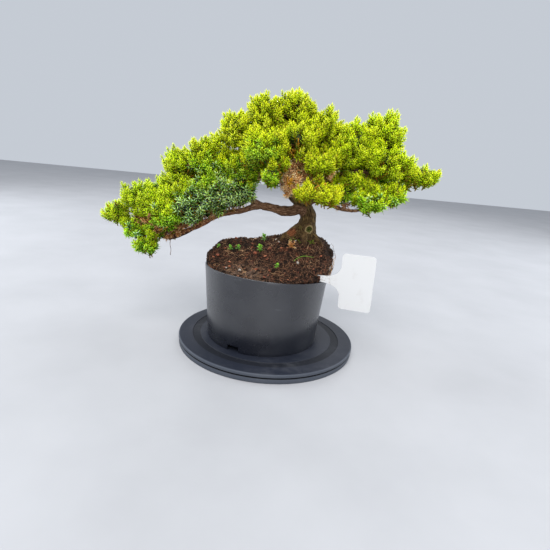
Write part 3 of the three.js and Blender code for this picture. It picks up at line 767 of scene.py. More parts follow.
bpy.ops.mesh.primitive_grid_add(x_subdivisions=SOIL_ROWS, y_subdivisions=SOIL_ROWS, size=2)
soil = bpy.context.object
for vertex in soil.data.vertices:
    x, y = vertex.co.x, vertex.co.y
    vertex.co = soil_point(x * math.sqrt(1 - y * y / 2), y * math.sqrt(1 - x * x / 2)) * MM
edit(soil)
bpy.ops.mesh.select_all(action="DESELECT")
bpy.ops.mesh.select_mode(type="EDGE")
bpy.ops.mesh.select_non_manifold()
bpy.ops.mesh.extrude_region_move(TRANSFORM_OT_translate={"value": (0, 0, -0.06)})
bpy.ops.transform.resize(value=(0.9, 0.9, 0), center_override=(POT_MIDDLE.x, POT_MIDDLE.y, SOIL_BOTTOM * MM))
bpy.ops.mesh.edge_face_add()
bpy.ops.mesh.select_all(action="SELECT")
bpy.ops.mesh.normals_make_consistent(inside=False)
done()
rounded(soil, 180)
print("root ball:", len(soil.data.polygons), "faces")

# %% [markdown]
# ## Soil finish
# Damp peat is nearly black, with reddish bark in it, wetter pits that are darker still, and paler dust where
# it has dried, along the front. The right side, where the roots show, is darkened with painted shade. Noise
# of several sizes mixes those tones, and a bump adds what is finer than the mesh.

# %% Soil material
damp_soil = Finish("damp_soil", Specular_IOR_Level=0.12)
crumb = damp_soil.grain(0.0014, detail=5, rough=0.7)
clod = damp_soil.grain(0.006, detail=4, rough=0.65)
dry_peat = damp_soil.ramp(crumb, (0.38, 7, 4, 3), (0.52, 38, 25, 18), (0.68, 136, 98, 74))
wet_peat = damp_soil.ramp(crumb, (0.38, 5, 3, 2), (0.58, 24, 15, 11), (0.72, 72, 48, 36))
bark_bits = damp_soil.ramp(crumb, (0.38, 22, 11, 8), (0.6, 96, 52, 36), (0.8, 158, 96, 68))
dry_dust = damp_soil.ramp(crumb, (0.34, 48, 37, 30), (0.6, 116, 96, 82), (0.8, 158, 140, 122))
peat = damp_soil.mix(damp_soil.fade(clod, 0.36, 0.5), wet_peat, dry_peat)
ground = damp_soil.mix(damp_soil.fade(clod, 0.52, 0.66) * 0.6, peat, bark_bits)
dry_front = damp_soil.near((-28 * MM, -48 * MM, 91 * MM), 12 * MM, 34 * MM)
ground = damp_soil.mix(dry_front * damp_soil.fade(clod, 0.4, 0.6) * 0.7, ground, dry_dust)
# Painted shade: the right side is darkened towards the wet peat tone.
painted_shade_right = damp_soil.near((64 * MM, 8 * MM, 98 * MM), 12 * MM, 32 * MM)
damp_soil.colour(damp_soil.mix(painted_shade_right * 0.6, ground, wet_peat))
damp_soil.roughness(0.75 + crumb * 0.25)
damp_soil.bump(crumb, 0.0008, 0.9)
settle(soil, "root_ball", damp_soil, "soil", "turntable", "soil")

# %% [markdown]
# ## Copies of small things
# Crumbs, chips and needles repeat by the thousand. Each is modelled once, and its corners are then copied to
# every place with numpy, which is the same as Duplicate and Join but takes a moment instead of an hour. Each
# copied piece is an ordinary mesh of its own. Random numbers come from a seeded generator, so that every run
# gives the same plant.

# %% Models as arrays
def arrays_of(mesh):
    """A mesh's corner places and its three-cornered faces, as arrays"""
    points = np.array([vertex.co[:] for vertex in mesh.vertices])
    return points, np.array([face.vertices[:] for face in mesh.polygons])


def model_from(obj):
    """The arrays of a model that is then removed"""
    only(obj)
    edit(obj)
    bpy.ops.mesh.select_all(action="SELECT")
    bpy.ops.mesh.quads_convert_to_tris()
    done()
    model = arrays_of(obj.data)
    bpy.data.objects.remove(obj)
    return model


def merged(parts):
    """Several pairs of corners and faces as one pair"""
    starts = np.cumsum([0] + [len(corners) for corners, faces in parts])
    faces = [faces + start for (corners, faces), start in zip(parts, starts)]
    return np.concatenate([corners for corners, faces in parts]), np.concatenate(faces)


print("model tools ready")


# %% Turned copies
def frames_along(directions, rolls):
    """Turns whose Z axes lie along the directions, each rolled about its own axis"""
    z = directions / np.linalg.norm(directions, axis=1, keepdims=True)
    helper = np.where(np.abs(z[:, 2:3]) > 0.9, [[1.0, 0, 0]], [[0, 0, 1.0]])
    x = np.cross(helper, z)
    x /= np.linalg.norm(x, axis=1, keepdims=True)
    y = np.cross(z, x)
    cos, sin = np.cos(rolls)[:, None], np.sin(rolls)[:, None]
    return np.stack([x * cos + y * sin, y * cos - x * sin, z], axis=2)


def copied(points, faces, places, turns, sizes):
    """The corners and faces of copies of a model, one at each place"""
    sizes = np.broadcast_to(np.asarray(sizes, float).reshape(len(places), -1), (len(places), 3))
    corners = np.einsum("nij,nkj->nki", turns, points[None] * sizes[:, None]) + places[:, None]
    shifts = np.arange(len(places))[:, None, None] * len(points)
    return corners.reshape(-1, 3), (faces[None] + shifts).reshape(-1, 3)


def mesh_piece(name, corners, faces, tints=None):
    """A piece from arrays, with a colour for each face corner if tints are given"""
    mesh = bpy.data.meshes.new(name)
    mesh.vertices.add(len(corners))
    mesh.vertices.foreach_set("co", np.asarray(corners, np.float32).ravel())
    mesh.loops.add(faces.size)
    mesh.loops.foreach_set("vertex_index", np.asarray(faces, np.int32).ravel())
    mesh.polygons.add(len(faces))
    mesh.polygons.foreach_set("loop_start", np.arange(0, faces.size, 3, dtype=np.int32))
    mesh.update(calc_edges=True)
    if tints is not None:
        layer = mesh.color_attributes.new("tint", "FLOAT_COLOR", "CORNER")
        rgba = np.ones((faces.size, 4), np.float32)
        rgba[:, :3] = np.asarray(tints).reshape(-1, 3)
        layer.data.foreach_set("color", rgba.ravel())
    obj = bpy.data.objects.new(name, mesh)
    bpy.context.collection.objects.link(obj)
    return obj


print("copy tools ready")

# %% Places on the soil
TRUNK_CLEAR = 17


def on_soil(count, rng, sink=0.3):
    """Random places on the soil's top that keep clear of the trunk, in metres"""
    places = []
    reach = pot_radius(RIM_HEIGHT) - POT_WALL - 2.5
    while len(places) < count:
        x, y = round_pot(reach * math.sqrt(rng.random()), rng.random() * 2 * math.pi)
        if math.hypot(x - TRUNK_FOOT[0], y - TRUNK_FOOT[1]) > TRUNK_CLEAR:
            places.append((x, y, soil_top(x, y) - sink))
    return np.array(places) * MM


print("soil places ready")

# %% [markdown]
# ## Crumbs, chips and grit
# Loose on the soil lie dark peat crumbs, red-brown bark chips and a few white grains of perlite. A crumb is a
# coarse ball pushed out of shape. A chip is a finer ball, flattened and roughened by stronger noise. The
# larger chips lie where the photograph shows them.

# %% Crumb and chip tools
BIG_CHIPS = [
    (8.7, -0.7, 3.2), (-4.5, 3.1, 4.2), (-19.9, -1.3, 3), (-16, -37.7, 3.4), (-1.6, -40.8, 3.2),
    (-8, -10.9, 3.4), (-5.7, -17.6, 2.8), (-60.9, -5.7, 3.4), (-64.6, -10.2, 3), (-45.5, -20.8, 2.6),
    (-5.8, -55.1, 2.6), (51.9, -12.4, 3), (-25, 22.6, 3.2), (-45.7, 36.1, 3.4), (-44, -31.8, 2.4),
    (-54.9, 8.3, 2.6), (-24.7, 12.5, 2.2),
]
GRIT = [(27, -26.5, 3), (-32.4, -40.7, 3), (1.7, 22.1, 2.6), (5.3, 13.4, 2.6), (24, 8.1, 2.2), (-47, -36, 2)]
CRUMBS, SMALL_CHIPS = 1500, 75


def lump_model(detail, squash, seed, wild=0.35):
    bpy.ops.mesh.primitive_ico_sphere_add(subdivisions=detail, radius=0.5)
    obj = bpy.context.object
    for vertex in obj.data.vertices:
        vertex.co *= 1 + wild * noise.noise(vertex.co * 2.7 + Vector((seed, 0, 0)))
        vertex.co.z *= squash
    return model_from(obj)


def scatter(name, models, places, sizes, finish, slot, rng, tilt=0.5):
    """Lays copies of a few models at the places, tilted a little at random"""
    parts = []
    choice = rng.integers(len(models), size=len(places))
    for kind, model in enumerate(models):
        mine = choice == kind
        count = int(mine.sum())
        if count:
            up = np.concatenate([rng.normal(0, tilt, (count, 2)), np.ones((count, 1))], axis=1)
            turns = frames_along(up, rng.random(count) * 2 * math.pi)
            parts.append(copied(*model, places[mine], turns, sizes[mine]))
    return settle(mesh_piece(name, *merged(parts)), name, finish, slot, "turntable")


def laid(table, rise):
    """The places of a table's bits on the soil, and their sizes, in metres"""
    places = np.array([(x, y, soil_height(x, y) + rise) for x, y, size in table]) * MM
    return places, np.array([size for x, y, size in table]) * MM


print("larger chips:", len(BIG_CHIPS), "grains:", len(GRIT))

# %% Scatter the loose bits
bark_stops = [(0.32, 64, 30, 20), (0.5, 134, 72, 48), (0.68, 176, 116, 84)]
bark_chip = mottled("red_bark_chip", 0.004, bark_stops, 0.7, 0.2, detail=2, Specular_IOR_Level=0.3)
white_stops = [(0.35, 96, 84, 74), (0.6, 180, 174, 166)]
perlite = mottled("white_perlite", 0.0012, white_stops, 0.8, 0.1, 0.001, Specular_IOR_Level=0.3)

rng = np.random.default_rng(7)
crumb_models = [lump_model(1, 0.75, seed) for seed in range(4)]
crumb_places = on_soil(CRUMBS, rng)
crumb_sizes = rng.uniform(0.8, 2.6, CRUMBS) * MM
scatter("soil_crumbs", crumb_models, crumb_places, crumb_sizes, damp_soil, "soil", rng, 0.7)
chip_models = [lump_model(2, 0.34, seed + 20, 0.7) for seed in range(3)]
big_places, big_sizes = laid(BIG_CHIPS, 0.9)
chip_places = np.concatenate([big_places, on_soil(SMALL_CHIPS, rng, 0)])
chip_sizes = np.concatenate([big_sizes * 1.25, rng.uniform(1.2, 2.4, SMALL_CHIPS) * MM])
scatter("bark_chips", chip_models, chip_places, chip_sizes, bark_chip, "soil", rng, 0.45)
scatter("perlite_grains", [lump_model(2, 0.8, 40)], *laid(GRIT, 0.8), perlite, "soil", rng)

# %% [markdown]
# ## The tree's wood
# Trunk, limbs and surface roots have grown as one piece. Each is a line of points with a radius, the same as
# in the plain solids. Only the short dead stub in front of the upper trunk is added here. A curve with a
# round bevel makes a stick of each line, and a voxel remesh then fuses all the sticks, with a ring of callus
# around the pruning scar, into one skin without seams.

# %% Limb table
LIMBS = {
    "trunk": [
        (33, 25, 98, 15), (33, 25, 112, 15), (34, 25, 122, 13.2), (36, 25, 133, 11.4), (35, 24, 147, 9.5),
        (32, 23, 157, 8.8), (25, 22, 163, 8), (15, 20, 169, 6.5), (9, 18, 177, 5.2), (7, 17, 188, 4.6),
        (9, 18, 201, 4.2), (12, 22, 217, 3.5), (9, 24, 235, 2.8), (4, 22, 253, 2),
    ],
    "left": [
        (29, 22, 155, 6), (10, 19, 151, 5.6), (-18, 14, 155, 4.3), (-40, 10, 147.8, 3.4), (-63, 8, 141.4, 3),
        (-86, 5, 127.4, 2.9), (-112, 2, 113.4, 3), (-129, 0, 113.6, 2.4), (-137, -4, 112, 1.8),
    ],
    "left_tip": [(-120, 1, 112, 2.2), (-129, 0, 123, 2), (-149, 0, 135, 1.6), (-177, -2, 138, 1)],
    "left_rise": [(-14, 14, 154, 3.4), (-47, 12, 169, 2.8), (-64, 10, 181, 2.2), (-86, 8, 200, 1.1)],
    "upper_left": [(8, 18, 182, 3.6), (-21, 14, 190, 2.8), (-38, 11, 202, 2.3), (-51, 8, 226, 1.4)],
    "dead_stub": [(8, 17, 185, 2.6), (9, 8, 186, 2.2), (10, -5, 184, 1.6), (11, -14, 180, 1)],
    "right_low": [
        (33, 22, 161, 4), (43, 12, 167, 3), (55, 4, 164, 2.4), (77, -8, 161, 2), (98, -13, 166, 1.3),
    ],
    "right": [
        (27, 22, 163, 5), (50, 14, 187, 3.6), (66, 10, 197, 3.1), (84, 6, 202, 2.6), (128, 2, 202, 1.7),
        (149, 2, 204, 1.1),
    ],
    "right_rise": [(66, 10, 196, 2.8), (75, 10, 210, 2.3), (88, 10, 222, 2), (104, 10, 238, 1.4)],
}
ROOTS = [(195, 36, 7.5), (145, 26, 5), (272, 27, 5.5), (325, 30, 5), (40, 24, 4.5)]
ROOT_STOPS = [(0.1, 9, 1), (0.42, 2.5, 0.85), (0.75, -0.5, 0.6), (1, -5, 0.35)]


print("limbs:", len(LIMBS), "surface roots:", len(ROOTS))


# %% Lines and sticks
def smooth_line(points, steps=8):
    """A line through the points, as x, y, z and radius, bent smoothly (Catmull and Rom's spline)"""
    p = np.array(points, float)
    p = np.concatenate([[2 * p[0] - p[1]], p, [2 * p[-1] - p[-2]]])
    out = []
    for a, b, c, d in zip(p, p[1:], p[2:], p[3:]):
        for t in np.arange(steps) / steps:
            bend = (2 * a - 5 * b + 4 * c - d) * t * t + (3 * (b - c) + d - a) * t**3
            out.append(0.5 * (2 * b + (c - a) * t + bend))
    return np.array([*out, p[-2]])


def root_line(angle, reach, radius):
    """The points of a surface root that leaves the trunk's foot at an angle"""
    foot_x, foot_y = LIMBS["trunk"][0][:2]
    points = []
    for share, rise, girth in ROOT_STOPS:
        x = foot_x + math.cos(math.radians(angle)) * reach * share
        y = foot_y + math.sin(math.radians(angle)) * reach * share
        points.append((x, y, soil_height(x, y) + rise, radius * girth))
    return points


def stick(line, sides=2):
    """A round stick along a line, in metres"""
    curve = bpy.data.curves.new("stick", "CURVE")
    curve.dimensions = "3D"
    curve.bevel_depth = MM
    curve.bevel_resolution = sides
    curve.use_fill_caps = True
    spline = curve.splines.new("POLY")
    spline.points.add(len(line) - 1)
    for point, (x, y, z, radius) in zip(spline.points, line):
        point.co = (x * MM, y * MM, z * MM, 1)
        point.radius = radius
    obj = bpy.data.objects.new("stick", curve)
    bpy.context.collection.objects.link(obj)
    only(obj)
    bpy.ops.object.convert(target="MESH")
    return bpy.context.object


limb_lines = {name: smooth_line(points) for name, points in LIMBS.items()}
for number, root in enumerate(ROOTS):
    limb_lines[f"root_{number}"] = smooth_line(root_line(*root))
print("limbs and roots:", len(limb_lines))

# %% [markdown]
# ## Foliage pads
# A grown juniper carries its needles in pads, one over each group of twigs. The table gives each pad's
# middle, half sizes and tone, as in the plain solids. The twig that carries a pad leaves the nearest limb.

# %% Pad table
PADS = {
    "left_tip": ((-177, -2, 138), (16, 12, 9), "lime"),
    "left_low": ((-155, -4, 122), (16, 16, 14), "green"),
    "left_hang": ((-143, -8, 107), (16, 14, 13), "green"),
    "left_top": ((-153, 2, 157), (23, 20, 17), "lime"),
    "left_front": ((-123, -12, 141), (22, 18, 20), "green"),
    "left_back": ((-135, 26, 160), (24, 18, 19), "green"),
    "shoulder": ((-109, 6, 190), (21, 24, 24), "lime"),
    "shoulder_front": ((-94, -14, 151), (22, 19, 22), "blue"),
    "shoulder_back": ((-101, 34, 170), (23, 18, 23), "green"),
    "ridge": ((-84, 6, 202), (21, 25, 26), "green"),
    "blue_front": ((-67, -10, 163), (19, 18, 20), "blue"),
    "blue_right": ((-41, -2, 171), (20, 18, 17), "blue"),
    "crown_left": ((-51, 6, 234), (20, 26, 22), "lime"),
    "crown_left_low": ((-45, 4, 198), (23, 24, 20), "green"),
    "apex_left": ((-23, 14, 255), (20, 28, 21), "lime"),
    "apex_right": ((10, 22, 262), (24, 30, 21), "lime"),
    "crown_front": ((-18, -26, 218), (22, 20, 20), "green"),
    "crown_skirt": ((-8, -30, 194), (15, 15, 16), "green"),
    "crown_heart": ((15, -18, 228), (20, 20, 22), "lime"),
    "crown_inner": ((26, 40, 200), (20, 18, 20), "green"),
    "crown_back": ((-12, 66, 239), (35, 24, 28), "green"),
    "crown_back_right": ((45, 68, 233), (33, 24, 26), "green"),
    "right_peak": ((43, 16, 248), (18, 26, 20), "lime"),
    "right_front": ((40, -26, 208), (17, 16, 14), "lime"),
    "yellow_front": ((39, -34, 182), (26, 18, 12), "lime"),
    "right_mid": ((72, -4, 227), (22, 26, 27), "lime"),
    "right_crest": ((106, 10, 243), (24, 26, 24), "lime"),
    "right_shoulder": ((112, -6, 215), (25, 24, 21), "lime"),
    "right_tip": ((149, 2, 206), (20, 16, 12), "lime"),
    "right_low": ((123, -10, 182), (14, 14, 13), "green"),
    "right_hang": ((99, -14, 175), (20, 18, 17), "green"),
    "right_back": ((98, 50, 208), (30, 22, 23), "green"),
    "right_under": ((71, -8, 183), (16, 12, 13), "green"),
}
print("pads:", len(PADS))

# %% Twigs to the pads
TWIG_RADII = (1.9, 1.5, 1.1)
TWIG_SAG = 0.12
TWIG_NEEDED = 9
limb_points = np.concatenate(list(limb_lines.values()))


def twig_line(middle):
    """The twig from the nearest limb to a pad's middle, or nothing where a limb passes through the pad"""
    end = np.array(middle, float)
    away = np.linalg.norm(limb_points[:, :3] - end, axis=1)
    start = limb_points[away.argmin(), :3]
    if away.min() < TWIG_NEEDED:
        return None
    bend = (start + end) / 2 - [0, 0, away.min() * TWIG_SAG]
    return smooth_line([(*place, radius) for place, radius in zip((start, bend, end), TWIG_RADII)], 6)


twig_lines = {name: twig_line(pad[0]) for name, pad in PADS.items()}
twig_lines = {name: line for name, line in twig_lines.items() if line is not None}
print("twigs:", len(twig_lines))

# %% [markdown]
# ## Bark
# Juniper bark is thin and splits into strips that follow the limb. Every point of the skin is therefore given
# a place of its own: how far along the nearest limb it lies, and where around it. Noise that is long in the
# first and short in the second raises the strips, and the same place is stored for the material.

# %% Fuse the wood
SCAR_PLACE = Vector((37.5, 13.7, 134)) * MM
SCAR_FACE = Vector((0.12, -1, 0.05)).normalized()
SCAR_RADIUS, CALLUS_RADIUS = 4.1, 1.5
WOOD_VOXEL = 1.1

sticks = [stick(line) for line in [*limb_lines.values(), *twig_lines.values()]]
bpy.ops.mesh.primitive_torus_add(
    major_radius=SCAR_RADIUS * MM,
    minor_radius=CALLUS_RADIUS * MM,
    major_segments=28,
    minor_segments=10,
    location=SCAR_PLACE,
    rotation=SCAR_FACE.to_track_quat("Z", "Y").to_euler(),
)
callus = bpy.context.object
callus.scale.y = 1.15
wood = joined([*sticks, callus])
only(wood)
bpy.ops.object.transform_apply()
use(wood, "REMESH", mode="VOXEL", voxel_size=WOOD_VOXEL * MM)
use(wood, "SMOOTH", factor=0.6, iterations=4)
print("wood skin:", len(wood.data.polygons), "faces")

# %% Find each point's place on its limb
YOUNG_WOOD, OLD_WOOD = 1, 0

rails, rail_kinds = [], []
for name, line in {**limb_lines, **twig_lines}.items():
    places = line[:, :3]
    steps = np.linalg.norm(np.diff(places, axis=0), axis=1)
    along = np.concatenate([[0], np.cumsum(steps)])
    heading = np.gradient(places, axis=0)
    heading /= np.linalg.norm(heading, axis=1, keepdims=True)
    side = np.cross(heading[0], (0.3, 1, 0.2))
    for number in range(len(line)):
        side = side - heading[number] * side.dot(heading[number])
        side /= np.linalg.norm(side)
        rails.append((places[number], heading[number], side, along[number], line[number, 3]))
    rail_kinds += [OLD_WOOD if name == "trunk" or name.startswith("root") else YOUNG_WOOD] * len(line)
tree = kdtree.KDTree(len(rails))
for number, rail in enumerate(rails):
    tree.insert(Vector(rail[0]) * MM, number)
tree.balance()
print("places along the limbs:", len(rails))

# %% Raise the bark
SCAR_CLEAR = 5.2

grains, kinds, moves = [], [], []
for vertex in wood.data.vertices:
    number = tree.find(vertex.co)[1]
    middle, heading, side, along, radius = rails[number]
    off = np.array(vertex.co) / MM - middle
    depth = along + off.dot(heading)
    flat = off - heading * off.dot(heading)
    x, y = flat.dot(side), flat.dot(np.cross(heading, side))
    spot = Vector((x, y, depth * 0.2))
    strips = abs(noise.noise(spot / 1.9)) * 1.5 + noise.noise(spot / 0.9) * 0.5
    swell = noise.noise(Vector((x, y, depth)) / 9) * 0.22 * radius
    grains.append(spot)
    kinds.append(rail_kinds[number])
    on_scar = (vertex.co - SCAR_PLACE).length < SCAR_CLEAR * MM
    moves.append(0 if on_scar else (strips - 0.35) * min(0.75, 0.13 * radius) + swell)
skin_places = np.array([vertex.co for vertex in wood.data.vertices])
skin_normals = np.array([normal.vector for normal in wood.data.vertex_normals])
skin_places += skin_normals * np.array(moves)[:, None] * MM
wood.data.vertices.foreach_set("co", skin_places.ravel())
wood.data.attributes.new("grain", "FLOAT_VECTOR", "POINT").data.foreach_set("vector", np.ravel(grains))
wood.data.attributes.new("limb", "FLOAT", "POINT").data.foreach_set("value", np.array(kinds, float))
rounded(wood, 180)
print("bark raised on", len(grains), "points")

# %% [markdown]
# ## Bark finish
# The trunk is olive grey-brown with dark cracks, lighter strips and a little green lichen. The limbs are
# redder, where young bark peels. The foot is darkened by damp soil, one surface root at the left is worn to a
# smooth red-brown, and the old pruning scar has a pale rim around a nearly black, mossy middle.

# %% Bark material
bark = Finish("juniper_bark", Specular_IOR_Level=0.15)
strip_place = bark.node("Attribute", {"attribute_name": "grain"}, output="Vector")
limb_share = bark.node("Attribute", {"attribute_name": "limb"}, output="Fac")
fibres = bark.node("TexNoise", sockets={"Vector": strip_place, "Scale": 1.1, "Detail": 5, "Roughness": 0.65})
patches = bark.grain(0.009, detail=4, rough=0.6)
flecks = bark.grain(0.0012, detail=3, rough=0.7)
old_stops = [(0.36, 16, 10, 5), (0.48, 64, 48, 26), (0.6, 102, 82, 48), (0.72, 142, 120, 80)]
young_stops = [(0.35, 34, 20, 12), (0.48, 92, 66, 48), (0.6, 134, 104, 82), (0.74, 176, 148, 124)]
red_stops = [(0.35, 40, 20, 12), (0.48, 104, 62, 42), (0.6, 146, 96, 68), (0.74, 186, 142, 110)]
old_bark, young_bark, red_bark = (bark.ramp(fibres, *stops) for stops in (old_stops, young_stops, red_stops))
far_left = 1 - bark.fade(bark.along("X"), -0.09, -0.02)
young_bark = bark.mix(far_left * 0.85 + 0.1, young_bark, red_bark)
skin = bark.mix(limb_share * 0.8, old_bark, young_bark)
skin = bark.mix(bark.fade(patches, 0.55, 0.7) * 0.5, skin, linear(112, 84, 60))
lichen = bark.fade(bark.grain(0.006, detail=5), 0.6, 0.72) * 0.4 * (1 - limb_share)
skin = bark.mix(lichen, skin, linear(82, 92, 42))
damp_foot = 1 - bark.fade(bark.along("Z") + patches * 0.02, 0.126, 0.14)
skin = bark.mix(damp_foot * 0.8, skin, bark.ramp(fibres, (0.4, 16, 9, 6), (0.7, 74, 46, 32)))
ragged = (bark.grain(0.0045, detail=3) - 0.5) * 0.006
worn_root = bark.near((18.5 * MM, 15 * MM, 129 * MM), 4 * MM, 7 * MM, ragged)
worn_wood = bark.ramp(fibres, (0.38, 70, 36, 20), (0.55, 126, 74, 44), (0.72, 160, 104, 68))
skin = bark.mix(worn_root * 0.85, skin, worn_wood)
scar_rim = bark.near(tuple(SCAR_PLACE), 4.4 * MM, 5.2 * MM, ragged)
scar_middle = bark.near(tuple(SCAR_PLACE), 3.2 * MM, 3.9 * MM, ragged)
skin = bark.mix(scar_rim * 0.6, skin, linear(168, 148, 104))
skin = bark.mix(scar_middle, skin, bark.ramp(flecks, (0.4, 22, 22, 12), (0.6, 84, 88, 34)))
bark.colour(skin)
bark.roughness(0.72 + flecks * 0.22)
bark.bump(fibres + flecks * 0.3, 0.0007, 0.8)
settle(wood, "trunk_and_limbs", bark, "bark", "turntable", "wood")

# %% [markdown]
# ## Fine roots
# Where the root ball was trimmed, thin tan rootlets hang out of it in loose arcs, thickest at the right and
# around the trunk's foot. Each is a very thin three-sided tube along a random walk that keeps to the surface.
# One dead rootlet hangs from the lowest limb, and one stands in front of the trunk's foot.

# %% Thin tubes
def tube(line):
    """The corners and faces of a thin three-sided tube along a line of x, y, z and radius"""
    places, radius = line[:, :3], line[:, 3:4]
    turns = frames_along(np.gradient(places, axis=0), np.zeros(len(line)))
    rings = [
        places + (turns[:, :, 0] * math.cos(a) + turns[:, :, 1] * math.sin(a)) * radius
        for a in (0, 2 * math.pi / 3, 4 * math.pi / 3)
    ]
    faces = [(0, 2, 1)]
    for row in range(len(line) - 1):
        for k in range(3):
            a, b = 3 * row + k, 3 * row + (k + 1) % 3
            faces += [(a, b, b + 3), (a, b + 3, a + 3)]
    last = 3 * (len(line) - 1)
    faces.append((last, last + 1, last + 2))
    return np.stack(rings, axis=1).reshape(-1, 3) * MM, np.array(faces)


print("faces of a tube with 2 rings:", len(tube(np.eye(2, 4))[1]))

# %% Root walks
SOIL_REACH = 62.5


def surface_walk(x, y, length, heading, rng, radius, steps=8):
    """A rootlet that wanders over the soil from a place, rising a little off it in the middle"""
    points = []
    for step in range(steps + 1):
        share = step / steps
        lift = 0.5 + rng.uniform(0.2, 1.4) * math.sin(share * math.pi)
        points.append((x, y, soil_top(x, y) + lift, radius * (1.1 - share * 0.6)))
        heading += rng.normal(0, 0.45)
        x += math.cos(heading) * length / steps
        y += math.sin(heading) * length / steps
        if math.hypot(x - POT_MIDDLE.x / MM, y - POT_MIDDLE.y / MM) > SOIL_REACH:
            break
    return np.array(points) if len(points) > 3 else None


def side_root(angle, rng, steps=6):
    """A rootlet that hangs out of the root ball's side above the rim"""
    reach = pot_radius(RIM_HEIGHT) - POT_WALL + rng.uniform(1.2, 3.4)
    x, y = round_pot(reach, angle)
    rim = rim_height(x, y) + 1
    z, drift, points = rng.uniform(rim, soil_height(x, y) - 1), rng.uniform(-1, 1), []
    for step in range(steps + 1):
        radius = reach + math.sin(step / steps * math.pi) * 2.2 + overhang(z, angle)
        points.append((*round_pot(radius, angle), max(z, rim), 0.19))
        angle += drift * 0.025 + rng.normal(0, 0.02)
        z += rng.normal(-0.8, 1)
    return np.array(points)


print("a rootlet on top reaches at most mm from the middle:", SOIL_REACH)

# %% Rootlets
TOP_ROOTS, SIDE_ROOTS = 330, 240
SIDE_ANGLES = (-0.36, 1.7)
NEAR_TRUNK = 34
HANGING_ROOT = [(-115, 1, 112, 0.4), (-115.5, 0, 105, 0.35), (-114.6, 1, 99, 0.3), (-115.2, 1, 92, 0.35)]
STANDING_ROOT = [(35.5, -13, 111, 0.3), (37, -6, 116.5, 0.45), (39, 1, 120.5, 0.35), (40, 5, 123, 0.2)]

tan_stops = [(0.35, 58, 36, 25), (0.52, 118, 84, 58), (0.66, 190, 152, 112)]
root_fibre = mottled("tan_rootlet", 0.012, tan_stops, 0.6, 0.2, 0.002, Specular_IOR_Level=0.3)
rng = np.random.default_rng(21)
rootlets = []
for x, y, z in on_soil(TOP_ROOTS, rng) / MM:
    near_trunk = math.hypot(x - TRUNK_FOOT[0], y - TRUNK_FOOT[1]) < NEAR_TRUNK
    length = rng.uniform(7, 22) if near_trunk else rng.uniform(4, 13)
    rootlets.append(surface_walk(x, y, length, rng.random() * 6.3, rng, rng.uniform(0.13, 0.26)))
rootlets += [side_root(angle, rng) for angle in rng.uniform(*SIDE_ANGLES, SIDE_ROOTS)]
rootlets += [smooth_line(HANGING_ROOT), smooth_line(STANDING_ROOT)]
roots = merged([tube(line) for line in rootlets if line is not None])
settle(mesh_piece("rootlets", *roots), "rootlets", root_fibre, "soil", "turntable")

# %% [markdown]
# ## Seedlings
# Small weeds have come up in the soil: a short stalk with rounded leaves. One leaf is modelled from a disc
# that is drawn out to an oval, folded along its midrib and given a thickness. Each seedling gets four or five
# pairs of them, one above the other and each turned against the last. A blade of grass leans across the soil
# in front of the trunk.

# %% One leaf
leaf_stops = [(0.3, 72, 124, 20), (0.55, 118, 174, 40), (0.75, 164, 206, 76)]
leaf_green = mottled("seedling_green", 0.003, leaf_stops, 0.42, 0.15, detail=2, Specular_IOR_Level=0.4)
bpy.ops.mesh.primitive_circle_add(vertices=16, radius=1, fill_type="TRIFAN")
leaf = bpy.context.object
for vertex in leaf.data.vertices:
    x, y = vertex.co.x, vertex.co.y
    vertex.co = Vector(((x + 1) * 1.9, y * (1.5 + 0.1 * x), abs(y) * 0.3 - (x + 1) ** 2 * 0.1)) * MM
use(leaf, "SOLIDIFY", thickness=0.16 * MM, offset=0)
leaf_model = model_from(leaf)
print("leaf faces:", len(leaf_model[1]))

# %% Seedlings
SEEDLINGS = [(-12, 30, 10), (-64, 12, 6), (-49, 6, 7), (-39, 8, 8), (-15, 2, 9), (5, -34, 7)]
SEEDLING_BURIED = 5
GRASS_BLADE = [(20, -25, 101, 0.22), (26, -21, 107, 0.26), (34, -17, 109.5, 0.26), (44, -18, 109, 0.1)]

rng = np.random.default_rng(5)
for number, (x, y, height) in enumerate(SEEDLINGS, 1):
    foot = soil_height(x, y)
    top = foot + height - 2.5
    lean_x, lean_y = rng.normal(0, 0.8, 2)
    stalk = [
        (x, y, foot - SEEDLING_BURIED, 0.45),
        (x, y, foot, 0.4),
        (x + lean_x * 0.5, y + lean_y * 0.5, (foot + top) / 2, 0.35),
        (x + lean_x, y + lean_y, top, 0.25),
    ]
    count = 8 + 2 * (number % 2)
    tiers = np.arange(count) // 2
    angles = np.arange(count) * math.pi + tiers * 1.3 + rng.random()
    turns = np.array([
        (Matrix.Rotation(angle, 3, "Z") @ Matrix.Rotation(-rise, 3, "Y"))[:]
        for angle, rise in zip(angles, 0.1 + 0.22 * tiers)
    ])
    starts = [(x + lean_x, y + lean_y, foot + (top - foot) * (0.3 + 0.14 * tier)) for tier in tiers]
    sizes = height / 9 * rng.uniform(0.8, 1.15, count)
    leaves = copied(*leaf_model, np.array(starts) * MM, turns, sizes)
    sprout = mesh_piece("sprout", *merged([tube(smooth_line(stalk, 3)), leaves]))
    settle(sprout, f"sprout_{number}", leaf_green, "leaf", "turntable", f"seedling_{number}")
blade = tube(smooth_line(GRASS_BLADE))
settle(mesh_piece("grass_blade", *blade), "grass_blade", leaf_green, "leaf", "turntable")

# %% [markdown]
# ## Moss
# A little moss grows on the wet soil around the front of the trunk's foot. It is made of the same rough
# crumbs as the soil, in green, and lies in a loose arc.

# %% Moss about the trunk's foot
MOSS_CUSHIONS = 90
MOSS_ANGLES, MOSS_REACH = (2.6, 5.4), (15, 21)

